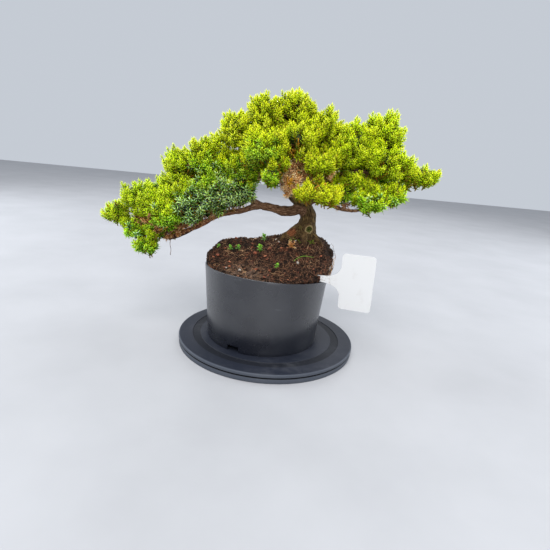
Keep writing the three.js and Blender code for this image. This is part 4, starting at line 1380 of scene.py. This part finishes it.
moss_stops = [(0.35, 48, 62, 18), (0.65, 112, 134, 40)]
moss_green = mottled("cushion_moss", 0.0012, moss_stops, 0.85, 0.1, 0.001, Specular_IOR_Level=0.1)
rng = np.random.default_rng(12)
places = []
for angle in rng.uniform(*MOSS_ANGLES, MOSS_CUSHIONS):
    reach = rng.uniform(*MOSS_REACH)
    x, y = TRUNK_FOOT[0] + reach * math.cos(angle), TRUNK_FOOT[1] + reach * math.sin(angle)
    places.append((x, y, soil_top(x, y) + 0.3))
sizes = rng.uniform(0.9, 2.2, MOSS_CUSHIONS) * MM
scatter("moss_cushions", crumb_models, np.array(places) * MM, sizes, moss_green, "leaf", rng)

# %% [markdown]
# ## Needles and shoots
# This juniper keeps its young foliage: short, sharp, awl-shaped needles in whorls of three, each whorl turned
# against the last. Two shoots cover the plant. In the sun of the crown they are dense upright spires with a
# bright tip, and low on the left they are open stars with needles that stand out flat. A third, sparse shoot
# is dry and brown, for the dead tufts inside. One needle is a slim three-sided spike, and a shoot has 48 or
# 72 faces. Two numbers go along with each corner: how far out it is on its needle, and how high up the shoot.

# %% Shoot tool
SPIRE = [(0.8, 60, 4.5), (3.1, 57, 4.8), (5.4, 53, 4.7), (7.5, 45, 4.2), (9.3, 31, 3.3)]
STAR = [(0.8, 86, 5.2), (2.4, 74, 5.8), (3.8, 50, 5)]
DRY = [(1, 64, 4.5), (3.4, 58, 5), (5.8, 46, 4.5)]
STEM_RADIUS = 0.7


def shoot_model(whorls, stem_length, tip_length, width):
    """A shoot that stands up from the origin: its corners, its faces, and each corner's reach and age"""
    spikes = []
    for row, (height, tilt, length) in enumerate(whorls):
        for k in range(3):
            spikes.append((height, tilt, length, k * 120 + row * 60, 0.35, row / len(whorls)))
    spikes.append((stem_length, 2, tip_length, 0, 0, 1))
    parts, reach, age = [], [], []
    for height, tilt, length, turn, out, years in spikes:
        bpy.ops.mesh.primitive_cone_add(vertices=3, radius1=width / 2 * MM, depth=length * MM)
        spike = bpy.context.object
        reach += [vertex.co.z > 0 for vertex in spike.data.vertices]
        age += [years] * len(spike.data.vertices)
        spike.data.transform(
            Matrix.Rotation(math.radians(turn), 4, "Z")
            @ Matrix.Translation(Vector((out, 0, height)) * MM)
            @ Matrix.Rotation(math.radians(tilt), 4, "Y")
            @ Matrix.Diagonal((0.6, 1, 1, 1))
            @ Matrix.Translation((0, 0, length / 2 * MM))
        )
        parts.append(arrays_of(spike.data))
        bpy.data.objects.remove(spike)
    stem = tube(np.array([(0, 0, -2, STEM_RADIUS), (0, 0, stem_length, STEM_RADIUS * 0.6)]))
    corners, faces = merged([*parts, stem])
    reach = np.array(reach + [0] * len(stem[0]), float)
    age = np.array(age + [-1] * len(stem[0]), float)
    return {"corners": corners, "faces": faces, "reach": reach, "age": age}


print("needles in a spire:", 3 * len(SPIRE) + 1, "in a star:", 3 * len(STAR) + 1)

# %% Shoot models
SHOOTS = {
    "spire": shoot_model(SPIRE, 10.8, 2.6, 1.65),
    "star": shoot_model(STAR, 5, 3.6, 2),
    "dry": shoot_model(DRY, 7.4, 3.5, 1.5),
}
for name, model in SHOOTS.items():
    print(name, "faces:", len(model["faces"]))

# %% [markdown]
# ## Needle colours
# Every face corner of the foliage gets a colour. It runs from a deep tone inside the pad to a bright one at
# the shoot's tip, with the oldest needles darkest and the newest yellowest: partly the needles' own colour
# and partly painted shade, which also darkens the base of each needle. The upper side of a needle has a paler
# bloom, which makes the low left pads look silvery. Live needles share one material, which shows these
# colours with a little noise over them, and dry needles have a duller one.

# %% Colour tables
# Colours as they look on a screen, and how much of the bloom shows
TONES = {
    "lime": {
        "deep": (122, 152, 10), "mid": (192, 232, 14), "tip": (222, 240, 22),
        "bloom": (216, 238, 92), "share": 0.2,
    },
    "green": {
        "deep": (80, 132, 12), "mid": (152, 226, 26), "tip": (202, 248, 48),
        "bloom": (200, 238, 116), "share": 0.2,
    },
    "blue": {
        "deep": (8, 28, 4), "mid": (26, 66, 10), "tip": (88, 146, 44),
        "bloom": (214, 246, 180), "share": 0.45,
    },
    "silver": {
        "deep": (46, 92, 24), "mid": (114, 172, 66), "tip": (190, 230, 132),
        "bloom": (216, 242, 184), "share": 0.4,
    },
    "dry": {
        "deep": (170, 104, 58), "mid": (222, 152, 96), "tip": (246, 198, 142),
        "bloom": (240, 190, 150), "share": 0.2,
    },
}
print("tones:", ", ".join(TONES))

# %% Needle materials
STEM_TONE = np.array(linear(200, 142, 44))
GOLD_TONE = np.array(linear(240, 200, 56))
needle_green = Finish(
    "juniper_needles",
    Roughness=0.5,
    Specular_IOR_Level=0.12,
    Subsurface_Weight=0.5,
    Subsurface_Radius=(1, 1, 0.1),
    Subsurface_Scale=0.0015,
)
cloud_stops = [(0.3, (0.84, 0.86, 0.84)), (0.7, (1, 1, 1))]
cloud = needle_green.node("ValToRGB", {"stops": cloud_stops}, {"Fac": needle_green.grain(0.011, detail=2)})
needle_green.colour(needle_green.mix(1.0, needle_green.tint(), cloud, "MULTIPLY"))
dry_needle = Finish("dry_needles", Specular_IOR_Level=0.1)
dry_needle.colour(dry_needle.tint())
dry_needle.roughness(0.7 + dry_needle.grain(0.003) * 0.15)
print("needle nodes:", len(needle_green.tree.nodes))

# %% Colours of a shoot
GREATEST_TINT = 0.92


def unit(vectors):
    return vectors / np.linalg.norm(vectors, axis=-1, keepdims=True)


def blend(first, second, share):
    return first + (second - first) * share[..., None]


def each_copy(values):
    """One value for each copy of a shoot, shaped to go with its faces and their corners"""
    return np.array(values)[:, None, None]


def shoot_tints(model, tone, depth, light, gold):
    """Linear colours for the face corners of copies of one shoot"""
    faces = model["faces"]
    reach, age = model["reach"][faces][None], model["age"][faces][None]
    grown, stem = np.clip(age, 0, 1), age < 0
    deep, mid, tip, bloom = (np.array(linear(*TONES[tone][key])) for key in ("deep", "mid", "tip", "bloom"))
    # Deeper in the pad and lower on the shoot the colour turns deep: partly own colour, partly painted shade
    young_and_unshaded = grown * 0.6 + each_copy(depth) * 0.75 - 0.2
    colours = blend(deep, mid, np.clip(young_and_unshaded * 1.5, 0, 1))
    colours = blend(colours, tip, np.clip((young_and_unshaded - 0.35) * 1.8, 0, 1) * (0.15 + 0.85 * reach))
    colours = blend(colours, GOLD_TONE, grown**2 * reach * each_copy(gold))
    a, b, c = (model["corners"][faces[:, k]] for k in range(3))
    upper = unit(np.cross(b - a, c - a))[:, 2] > 0.25
    colours = blend(colours, bloom, TONES[tone]["share"] * upper[:, None] * (0.4 + 0.6 * each_copy(depth)))
    colours = blend(colours, STEM_TONE, stem * 0.8)
    # Painted shade: each needle is darker at its base, and the lower whorls darker than the top
    shade = (0.56 + 0.5 * reach) * (0.64 + 0.48 * grown) * each_copy(light)
    return np.minimum(colours * shade[..., None], GREATEST_TINT)


print("colours go on", len(SHOOTS["spire"]["faces"]) * 3, "face corners of a spire")

# %% [markdown]
# ## Sprays
# Shoots don't stand alone: a twiglet carries seven of them, or four in the open blue pads. The middle one
# stands highest, and the outer ones are lower and darker with painted shade, so each spray is a small dome.
# Sprays cover a pad with their tips on its rounded outline, which leaves small dark gaps between them. They
# bend upwards to the light, most in the crown, and lean outwards at the plant's two sides. A spray that would
# end deep inside the next pad is left out, because nobody could see it.

# %% Spray rules
SPRAY_AREA = 165
SPRAY_LENGTH = 26
SPRAY_RADIUS = 6.2
SPRAY_FAN = 0.6
SPRAY_DROP = 9
SHOOT_REACH = {"spire": 13.2, "star": 8.6}
# Shoots in a spray, pull to the light, the tone above the sun line, and the shares of silver stars, golden
# sprays and open stars
PAD_RULES = {
    "lime": {
        "shoots": 7, "upward": 1.1, "sunnier": "lime", "sun_line": -2,
        "silver": 0, "golden": 0.45, "open": 0,
    },
    "green": {
        "shoots": 7, "upward": 0.8, "sunnier": "lime", "sun_line": 0.1,
        "silver": 0.2, "golden": 0.15, "open": 0.2,
    },
    "blue": {
        "shoots": 4, "upward": 0.45, "sunnier": "green", "sun_line": 0.45,
        "silver": 0.5, "golden": 0.05, "open": 0.75,
    },
}
GOLDEN_ANGLE = math.pi * (3 - math.sqrt(5))
print("rules for pads:", ", ".join(PAD_RULES))

# %% Tips on an outline
TOP_SHARE = 0.14


def even_directions(count):
    number = np.arange(count)
    z = 1 - 2 * (number + 0.5) / count
    ring = np.sqrt(1 - z * z)
    return np.stack([ring * np.cos(GOLDEN_ANGLE * number), ring * np.sin(GOLDEN_ANGLE * number), z], axis=1)


def pad_area(size):
    """About the surface of a ball with three half sizes"""
    a, b, c = size
    mean = ((a * b) ** 1.6 + (a * c) ** 1.6 + (b * c) ** 1.6) / 3
    return 4 * math.pi * mean ** (1 / 1.6)


def depth_in(points, middle, size):
    """1 on a pad's outline, less inside it"""
    return np.linalg.norm((points - middle) / size, axis=-1)


def hidden(points, name, share):
    """Which points lie deep inside another pad"""
    found = np.zeros(len(points), bool)
    for other, (middle, size, tone) in PADS.items():
        if other != name:
            found |= depth_in(points, np.array(middle), np.array(size, float)) < share
    return found


def outline_tips(middle, size, rng):
    """Directions and tips of sprays spread over an outline, each a little off its even place"""
    directions = unit(even_directions(max(6, round(pad_area(size) / SPRAY_AREA))) / np.sqrt(size))
    directions = unit(directions + rng.normal(0, 0.12, directions.shape) + [0, 0, TOP_SHARE])
    uneven = np.array([noise.noise(Vector(middle + direction * size) / 16) for direction in directions])
    share = rng.uniform(0.94, 1.12, len(directions)) + uneven * 0.14
    return directions, middle + directions * size * share[:, None]


print("evenly spread directions on a pad of 20 mm:", round(pad_area((20, 20, 20)) / SPRAY_AREA))

# %% [markdown]
# ## Bridges and fills
# Where two pads nearly touch, the real twigs grow into each other, and round pads alone would leave clefts
# with light behind them. So a small ball of sprays bridges each cleft between neighbouring pads, and the
# table adds a few where the photograph shows leaves behind an edge.

# %% Bridges and fills
PAD_HIDDEN, FILL_HIDDEN = 0.84, 0.93
PAD_LIMIT, FILL_LIMIT = 1.15, 1.5
BRIDGE_REACH = 1.3
BRIDGE_SIZE = 0.76
# Small balls of sprays that belong to a pad: x, y, z and radius
FILLS = {
    "crown_left_low": [
        (-18, 22, 202, 9), (-39, 8, 183, 9), (-28, 8, 189, 9), (-19, 6, 197, 9), (-46, 2, 180, 8),
        (-34, 0, 182, 8),
    ],
    "crown_front": [(-5, -12, 202, 8), (-6, 6, 221, 10)],
    "crown_heart": [(36, 0, 211, 9)],
    "crown_back": [(-8, 38, 238, 13), (-4, 32, 216, 10), (14, 46, 230, 10)],
    "apex_left": [(-8, 16, 238, 10), (-12, 26, 228, 10), (0, 4, 242, 8), (-1, 10, 249, 8)],
    "right_peak": [(43, 4, 225, 9)],
    "ridge": [(-76, 18, 186, 9), (-62, 16, 188, 8), (-69, 16, 194, 8)],
    "right_under": [(58, 4, 197, 9), (74, 0, 196, 8), (88, 0, 192, 8)],
    "right_shoulder": [(116, 2, 194, 9), (100, 0, 194, 8)],
    "right_low": [(112, 0, 191, 8)],
    "right_back": [(115, 22, 196, 9), (131, 20, 193, 8)],
    "crown_left": [(-54, 22, 214, 8)],
    "left_tip": [(-171, 0, 148, 9), (-181, -1, 143, 8)],
    "right_tip": [(164, 0, 210, 7)],
    "right_mid": [(79, -16, 200, 8)],
    "left_front": [(-116, 6, 125, 8), (-128, 2, 127, 8), (-141, 2, 128, 8)],
    "shoulder_front": [(-103, 6, 134, 8), (-89, 6, 141, 8)],
    "blue_front": [(-76, 6, 147, 7), (-63, 6, 152, 7), (-62, 6, 187, 8)],
    "blue_right": [(-50, 6, 160, 7), (-38, 8, 163, 6), (-34, 18, 182, 8), (-42, 18, 180, 8)],
}


def reach_of(size, direction):
    """How far a pad reaches from its middle in a direction"""
    return 1 / np.linalg.norm(direction / size)


def bridges(name):
    """Small balls that fill the clefts between this pad and the next ones in the table"""
    names = list(PADS)
    middle, size = (np.array(value, float) for value in PADS[name][:2])
    spots = []
    for other in names[names.index(name) + 1 :]:
        other_middle, other_size = (np.array(value, float) for value in PADS[other][:2])
        away = other_middle - middle
        distance = np.linalg.norm(away)
        mine, theirs = reach_of(size, away / distance), reach_of(other_size, away / distance)
        if distance < (mine + theirs) * BRIDGE_REACH:
            spots.append((middle + away * mine / (mine + theirs), min(mine, theirs) * BRIDGE_SIZE))
    return spots


def pad_sprays(name, rng):
    """The directions and tips of all the sprays of a pad, and how long their twigs may be"""
    middle, size = (np.array(value, float) for value in PADS[name][:2])
    directions, tips = outline_tips(middle, size, rng)
    seen = ~hidden(tips, name, PAD_HIDDEN)
    directions, tips = [directions[seen]], [tips[seen]]
    limits = [np.full(len(tips[0]), size.mean() * PAD_LIMIT)]
    fills = [(np.array(fill[:3], float), fill[3]) for fill in FILLS.get(name, [])]
    for spot, radius in bridges(name) + fills:
        more, more_tips = outline_tips(spot, np.full(3, radius), rng)
        seen = ~hidden(more_tips, name, FILL_HIDDEN) & (depth_in(more_tips, middle, size) > FILL_HIDDEN)
        directions.append(more[seen])
        tips.append(more_tips[seen])
        limits.append(np.full(seen.sum(), radius * FILL_LIMIT))
    return np.concatenate(directions), np.concatenate(tips), np.concatenate(limits)


print("bridges:", sum(len(bridges(name)) for name in PADS), "fills:", sum(map(len, FILLS.values())))

# %% Shoots of a pad
LEAN, LEAN_WIDTH = 0.4, 130


def pad_shoots(name, rng):
    """Where a pad's shoots start, point and end, and which spray each belongs to, in millimetres"""
    middle, size, tone = PADS[name]
    middle, size, rules = np.array(middle, float), np.array(size, float), PAD_RULES[tone]
    directions, tips, limits = pad_sprays(name, rng)
    up = rules["upward"] * (0.45 + 0.55 * np.clip(directions[:, 2:3] + 0.6, 0, 1)) * np.array([0, 0, 1])
    lean = np.array([LEAN, 0, 0]) * kept(middle[0] / LEAN_WIDTH, -1.0)
    axes = unit(unit(directions / size) + up + lean + rng.normal(0, 0.1, directions.shape))
    lengths = np.minimum(SPRAY_LENGTH, limits) * rng.uniform(0.85, 1.1, len(tips))
    turns = frames_along(axes, rng.random(len(axes)) * 2 * math.pi)
    rows = []
    for k in range(rules["shoots"]):
        out = math.sqrt((k + 0.3) / rules["shoots"])
        turn = (k * GOLDEN_ANGLE + rng.normal(0, 0.25, len(tips)))[:, None]
        side = (turns[:, :, 0] * np.cos(turn) + turns[:, :, 1] * np.sin(turn)) * out
        heading = unit(axes + side * SPRAY_FAN + up * 0.35 + rng.normal(0, 0.08, axes.shape))
        drop = out**1.5 * SPRAY_DROP + rng.uniform(-1, 3, len(tips))
        end = tips + side * SPRAY_RADIUS - axes * drop[:, None]
        rows.append((end, heading, np.full(len(tips), 1 - out), np.arange(len(tips))))
    end, heading, along, spray = (np.concatenate(parts) for parts in zip(*rows))
    return {
        "feet": tips - axes * lengths[:, None], "axes": axes, "lengths": lengths, "middle": middle,
        "size": size, "end": end, "heading": heading, "along": along, "spray": spray, "tone": tone,
        "rules": rules,
    }


print("shoots in one low blue pad:", len(pad_shoots("blue_front", np.random.default_rng(1))["end"]))

# %% [markdown]
# ## Grow the pads
# Each pad becomes one piece that stands for its plain solid. The left side turns from lime at the top through
# green to silvery blue-green stars low down, so the share of stars and the tone follow the height. Colours
# turn a little bluer at the far left and a little brighter at the right, and one pad in front is golden. The
# top of each pad is a little lighter with painted light. A dark olive, rough middle closes each pad as
# painted shade, and tubes of clear air keep the hollows of the photograph open.

# %% Clearings
SHOOT_HIDDEN = 0.8
CLEARING_DEPTH = 5
# Tubes of clear air: both ends of the middle line, and the radius
CLEARINGS = [
    ((9, 8, 178), (8, -40, 190), 12), ((13, 4, 198), (14, -40, 206), 7),
    ((-132, -10, 132), (-138, -40, 135), 6), ((-122, -8, 126), (-128, -40, 127), 5),
    ((50, -14, 196), (51, -50, 198), 4), ((14, -8, 225), (13, -60, 223), 8.5),
    ((8, -6, 214), (8, -60, 211), 6.5),
]


def in_the_open(plan, name):
    """Which shoots are outside the other pads and the clearings"""
    keep = ~hidden(plan["end"], name, SHOOT_HIDDEN)
    for near, far, radius in CLEARINGS:
        near, path = np.array(near, float), np.subtract(far, near)
        share = np.clip((plan["end"] - near) @ path / path.dot(path), 0, 1)[:, None]
        below_tip = plan["end"] - plan["heading"] * CLEARING_DEPTH
        keep &= np.linalg.norm(below_tip - near - path * share, axis=1) > radius
    return keep


print("clearings:", len(CLEARINGS))

# %% Colours from left to right, and the dark core of painted shade
LEFT_SIDE, LEFT_SHIFT = -75, np.array((-0.16, 0, 0.15))
RIGHT_SIDE, RIGHT_SHIFT = 30, np.array((0.06, 0.16, 0))
SIDE_WIDTH = 50
GOLD_PAD, GOLD_SHIFT, GOLD_SHARE = "yellow_front", np.array((0.3, 0.2, 0.02)), 0.95
CORE_SHADE_TONE = linear(40, 52, 16)
CORE_SIZE, CORE_ROUGH = 0.42, 0.15


def side_shift(name, x):
    """How a pad's colours change with its place from left to right"""
    left = kept((LEFT_SIDE - x) / SIDE_WIDTH)
    right = kept((x - RIGHT_SIDE) / SIDE_WIDTH)
    return 1 + left * LEFT_SHIFT + right * RIGHT_SHIFT + (GOLD_SHIFT if name == GOLD_PAD else 0)


def pad_core(plan, seed):
    """The dark middle of a pad, a ball of painted shade pushed rough all over"""
    bpy.ops.mesh.primitive_ico_sphere_add(subdivisions=2, radius=1)
    ball = bpy.context.object
    for vertex in ball.data.vertices:
        rough = noise.noise(vertex.co * 3.1 + Vector((seed, 0, 0))) * CORE_ROUGH
        vertex.co = vertex.co * (CORE_SIZE + rough)
        vertex.co = Vector(plan["middle"] + np.array(vertex.co) * plan["size"]) * MM
    return model_from(ball)


print("far left:", side_shift("left_tip", -177).round(2), "far right:", side_shift("right_tip", 149).round(2))

# %% One pad
SPRAY_LIGHT, SHOOT_LIGHT = (0.78, 1.2), (0.82, 1.14)
SHOOT_SIZES = (0.82, 1.1)
SHOOT_GOLD = (0.2, 0.9)
SILVER_SIZE, SILVER_PROUD = 1.15, 3.5
# Painted light: a pad's top is painted lighter, and its underside darker, by up to this share
TOP_PAINTED_LIGHT = 0.1
TOP_CLOSED = 0.3
DEPTH_START = 0.45
TWIG_FOOT, TWIG_END, TWIG_SHARE, TWIG_TONE = 0.8, 0.55, 0.55, STEM_TONE * 0.6


def pad_piece(name, seed):
    """Grows one pad and lets it stand for its plain solid"""
    rng = np.random.default_rng(seed)
    plan = pad_shoots(name, rng)
    tip, tone, rules = plan["end"], plan["tone"], plan["rules"]
    depth = depth_in(tip, plan["middle"], plan["size"])
    depth = np.clip((depth - DEPTH_START) / (1 - DEPTH_START), 0, 1)
    keep = in_the_open(plan, name)
    spray_light = rng.uniform(*SPRAY_LIGHT, len(plan["feet"]))
    spray_gold = rng.random(len(plan["feet"])) < (GOLD_SHARE if name == GOLD_PAD else rules["golden"])
    top_light = np.clip((tip[:, 2] - plan["middle"][2]) / plan["size"][2], -1, 1)
    star = rng.random(len(tip)) < rules["open"] - TOP_CLOSED * top_light
    silver = rng.random(len(tip)) < rules["silver"]
    sunny = top_light + rng.normal(0, 0.2, len(tip)) > rules["sun_line"]
    looks = [
        ("spire", rules["sunnier"], ~star & sunny),
        ("spire", tone, ~star & ~sunny),
        ("star", "silver", star & silver),
        ("star", tone, star & ~silver),
    ]
    parts, tints = [], []
    for shoot, shoot_tone, chosen in looks:
        mine = keep & chosen
        count = mine.sum()
        if not count:
            continue
        model, heading, along = SHOOTS[shoot], plan["heading"][mine], plan["along"][mine]
        size, proud = (SILVER_SIZE, SILVER_PROUD) if shoot_tone == "silver" else (1, 0)
        scale = rng.uniform(*SHOOT_SIZES, count) * size
        feet = tip[mine] - heading * (SHOOT_REACH[shoot] * scale - proud)[:, None]
        turns = frames_along(heading, rng.random(count) * 2 * math.pi)
        parts.append(copied(model["corners"], model["faces"], feet * MM, turns, scale))
        spray = plan["spray"][mine]
        light = spray_light[spray] * rng.uniform(*SHOOT_LIGHT, count) * (1 + TOP_PAINTED_LIGHT * top_light[mine])
        # Painted shade: the outer, lower shoots of a spray get a darker brightness and tone
        light *= 0.84 + 0.34 * along
        gold = spray_gold[spray] * rng.uniform(*SHOOT_GOLD, count)
        colours = shoot_tints(model, shoot_tone, depth[mine] * (0.5 + 0.75 * along), light, gold)
        tints.append((colours * side_shift(name, plan["middle"][0])).reshape(-1, 3))
    for foot, axis, length in zip(plan["feet"], plan["axes"], plan["lengths"]):
        end = foot + axis * length * TWIG_SHARE
        parts.append(tube(np.array([(*foot, TWIG_FOOT), (*end, TWIG_END)])))
        tints.append(np.tile(TWIG_TONE, (parts[-1][1].size, 1)))
    # Painted shade: a dark core stands for the shaded inside of the pad
    parts.append(pad_core(plan, seed))
    tints.append(np.tile(CORE_SHADE_TONE, (parts[-1][1].size, 1)))
    obj = mesh_piece(f"juniper_{name}", *merged(parts), np.concatenate(tints))
    return settle(obj, f"juniper_{name}", needle_green, f"foliage_{tone}", "turntable", f"foliage_{name}")


print("pads to grow:", len(PADS))

# %% Grow the pads
total = 0
for seed, name in enumerate(PADS, 1):
    total += len(pad_piece(name, seed).data.polygons)
print("foliage triangles:", total)

# %% [markdown]
# ## Dead tufts
# Inside the crown, on the upper trunk and under the long limb, old needles have died and stayed: rust-brown
# tufts close to the wood. They are dry shoots set around the limb in a loose, untidy way.

# %% Table of dry tufts
# x, y, z and spread in millimetres, count, size and light, a painted light that lifts the tufts in the
# crown's shade
DRY_SPOTS = [
    (10, -14, 182, 9, 60, 0.85, 1.7), (12, -12, 176, 6, 34, 0.8, 1.7), (5, -12, 187, 6, 24, 0.75, 1.7),
    (16, -14, 190, 6, 26, 0.8, 1.7), (9, -10, 199, 7, 34, 0.8, 1.7), (17, -8, 206, 7, 34, 0.8, 1.7),
    (23, -6, 210, 6, 24, 0.8, 1.4), (14, 0, 220, 6, 16, 0.7, 1.4), (47, -10, 202, 6, 20, 0.8, 1.4),
    (40, -8, 195, 6, 20, 0.8, 1.4), (-27, 10, 195, 6, 18, 0.7, 1.0), (-20, 8, 188, 5, 12, 0.7, 1.0),
    (-60, 4, 148, 6, 24, 0.6, 0.9), (-67, 4, 146, 6, 24, 0.6, 0.9), (-74, 4, 142, 6, 24, 0.6, 0.9),
    (-86, 2, 135, 7, 30, 0.6, 0.9), (-80, 3, 139, 6, 24, 0.6, 0.9), (-93, 2, 131, 7, 28, 0.6, 0.9),
    (-99, 1, 127, 7, 30, 0.6, 0.9), (-106, 0, 122, 7, 30, 0.6, 0.9), (-112, 0, 119, 7, 32, 0.6, 0.9),
    (-120, -2, 118, 7, 30, 0.7, 0.9), (-130, -4, 121, 7, 30, 0.7, 0.9), (-142, -5, 127, 6, 22, 0.7, 0.9),
    (-50, 6, 153, 5, 18, 0.6, 1.0), (-42, 8, 156, 4, 14, 0.6, 1.0), (-106, -8, 131, 6, 16, 0.7, 0.9),
    (-149, -6, 131, 5, 16, 0.6, 0.6), (-34, 8, 188, 5, 14, 0.7, 1.0), (-39, 2, 191, 5, 16, 0.7, 1.0),
    (50, 6, 169, 4, 14, 0.6, 1.0), (62, 0, 166, 4, 14, 0.6, 1.0), (74, -6, 166, 4, 14, 0.6, 1.0),
    (88, -11, 168, 4, 14, 0.6, 1.0), (10, -8, 197, 6, 24, 0.8, 1.4), (26, -12, 196, 6, 24, 0.8, 1.4),
    (29, 2, 186, 5, 18, 0.8, 1.4), (20, -11, 118, 2, 6, 0.7, 1.4), (40, -24, 196, 5, 16, 0.8, 1.4),
    (50, -22, 197, 5, 20, 0.8, 1.4), (2, 12, 190, 5, 16, 0.8, 1), (19, 12, 181, 5, 18, 0.8, 1),
    (35, 12, 183, 5, 18, 0.8, 1), (49, 10, 190, 5, 16, 0.8, 1), (60, 10, 200, 5, 16, 0.8, 1),
    (62, 10, 184, 5, 16, 0.8, 1), (-134, -18, 133, 5, 18, 0.7, 0.75), (-123, -13, 127, 5, 18, 0.7, 0.75),
]
print("dry shoots:", sum(spot[4] for spot in DRY_SPOTS))

# %% Dry tufts
rng = np.random.default_rng(33)
rows = []
for x, y, z, spread, count, size, light in DRY_SPOTS:
    around = unit(rng.normal(0, 1, (count, 3))) * rng.random((count, 1)) ** 0.5
    headings = unit(around + rng.normal(0, 0.5, (count, 3)))
    lights = rng.uniform(0.8, 1.6, count) * light
    sizes = rng.uniform(0.7, 1.1, count) * size
    rows.append(((x, y, z) + around * spread * 0.7, headings, lights, sizes))
starts, headings, lights, sizes = (np.concatenate(parts) for parts in zip(*rows))
turns = frames_along(headings, rng.random(len(starts)) * 2 * math.pi)
dry = SHOOTS["dry"]
corners, faces = copied(dry["corners"], dry["faces"], starts * MM, turns, sizes)
tints = shoot_tints(dry, "dry", rng.uniform(0.3, 1, len(starts)), lights, np.zeros(len(starts)))
settle(mesh_piece("dry_tufts", corners, faces, tints), "dry_tufts", dry_needle, "bark", "turntable")

# %% [markdown]
# ## Sizes and finish
# The dressed plant may stand a little proud of its solids, as needles and roots do, but it keeps their size.
# Both boxes are written out so that they can be compared.

# %% Write the sizes and finish
looks_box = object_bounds()
for which, (low, high) in {"solids": cad_box, "dressed": looks_box}.items():
    print(which, [round(value / MM, 1) for value in (*low, *high)])
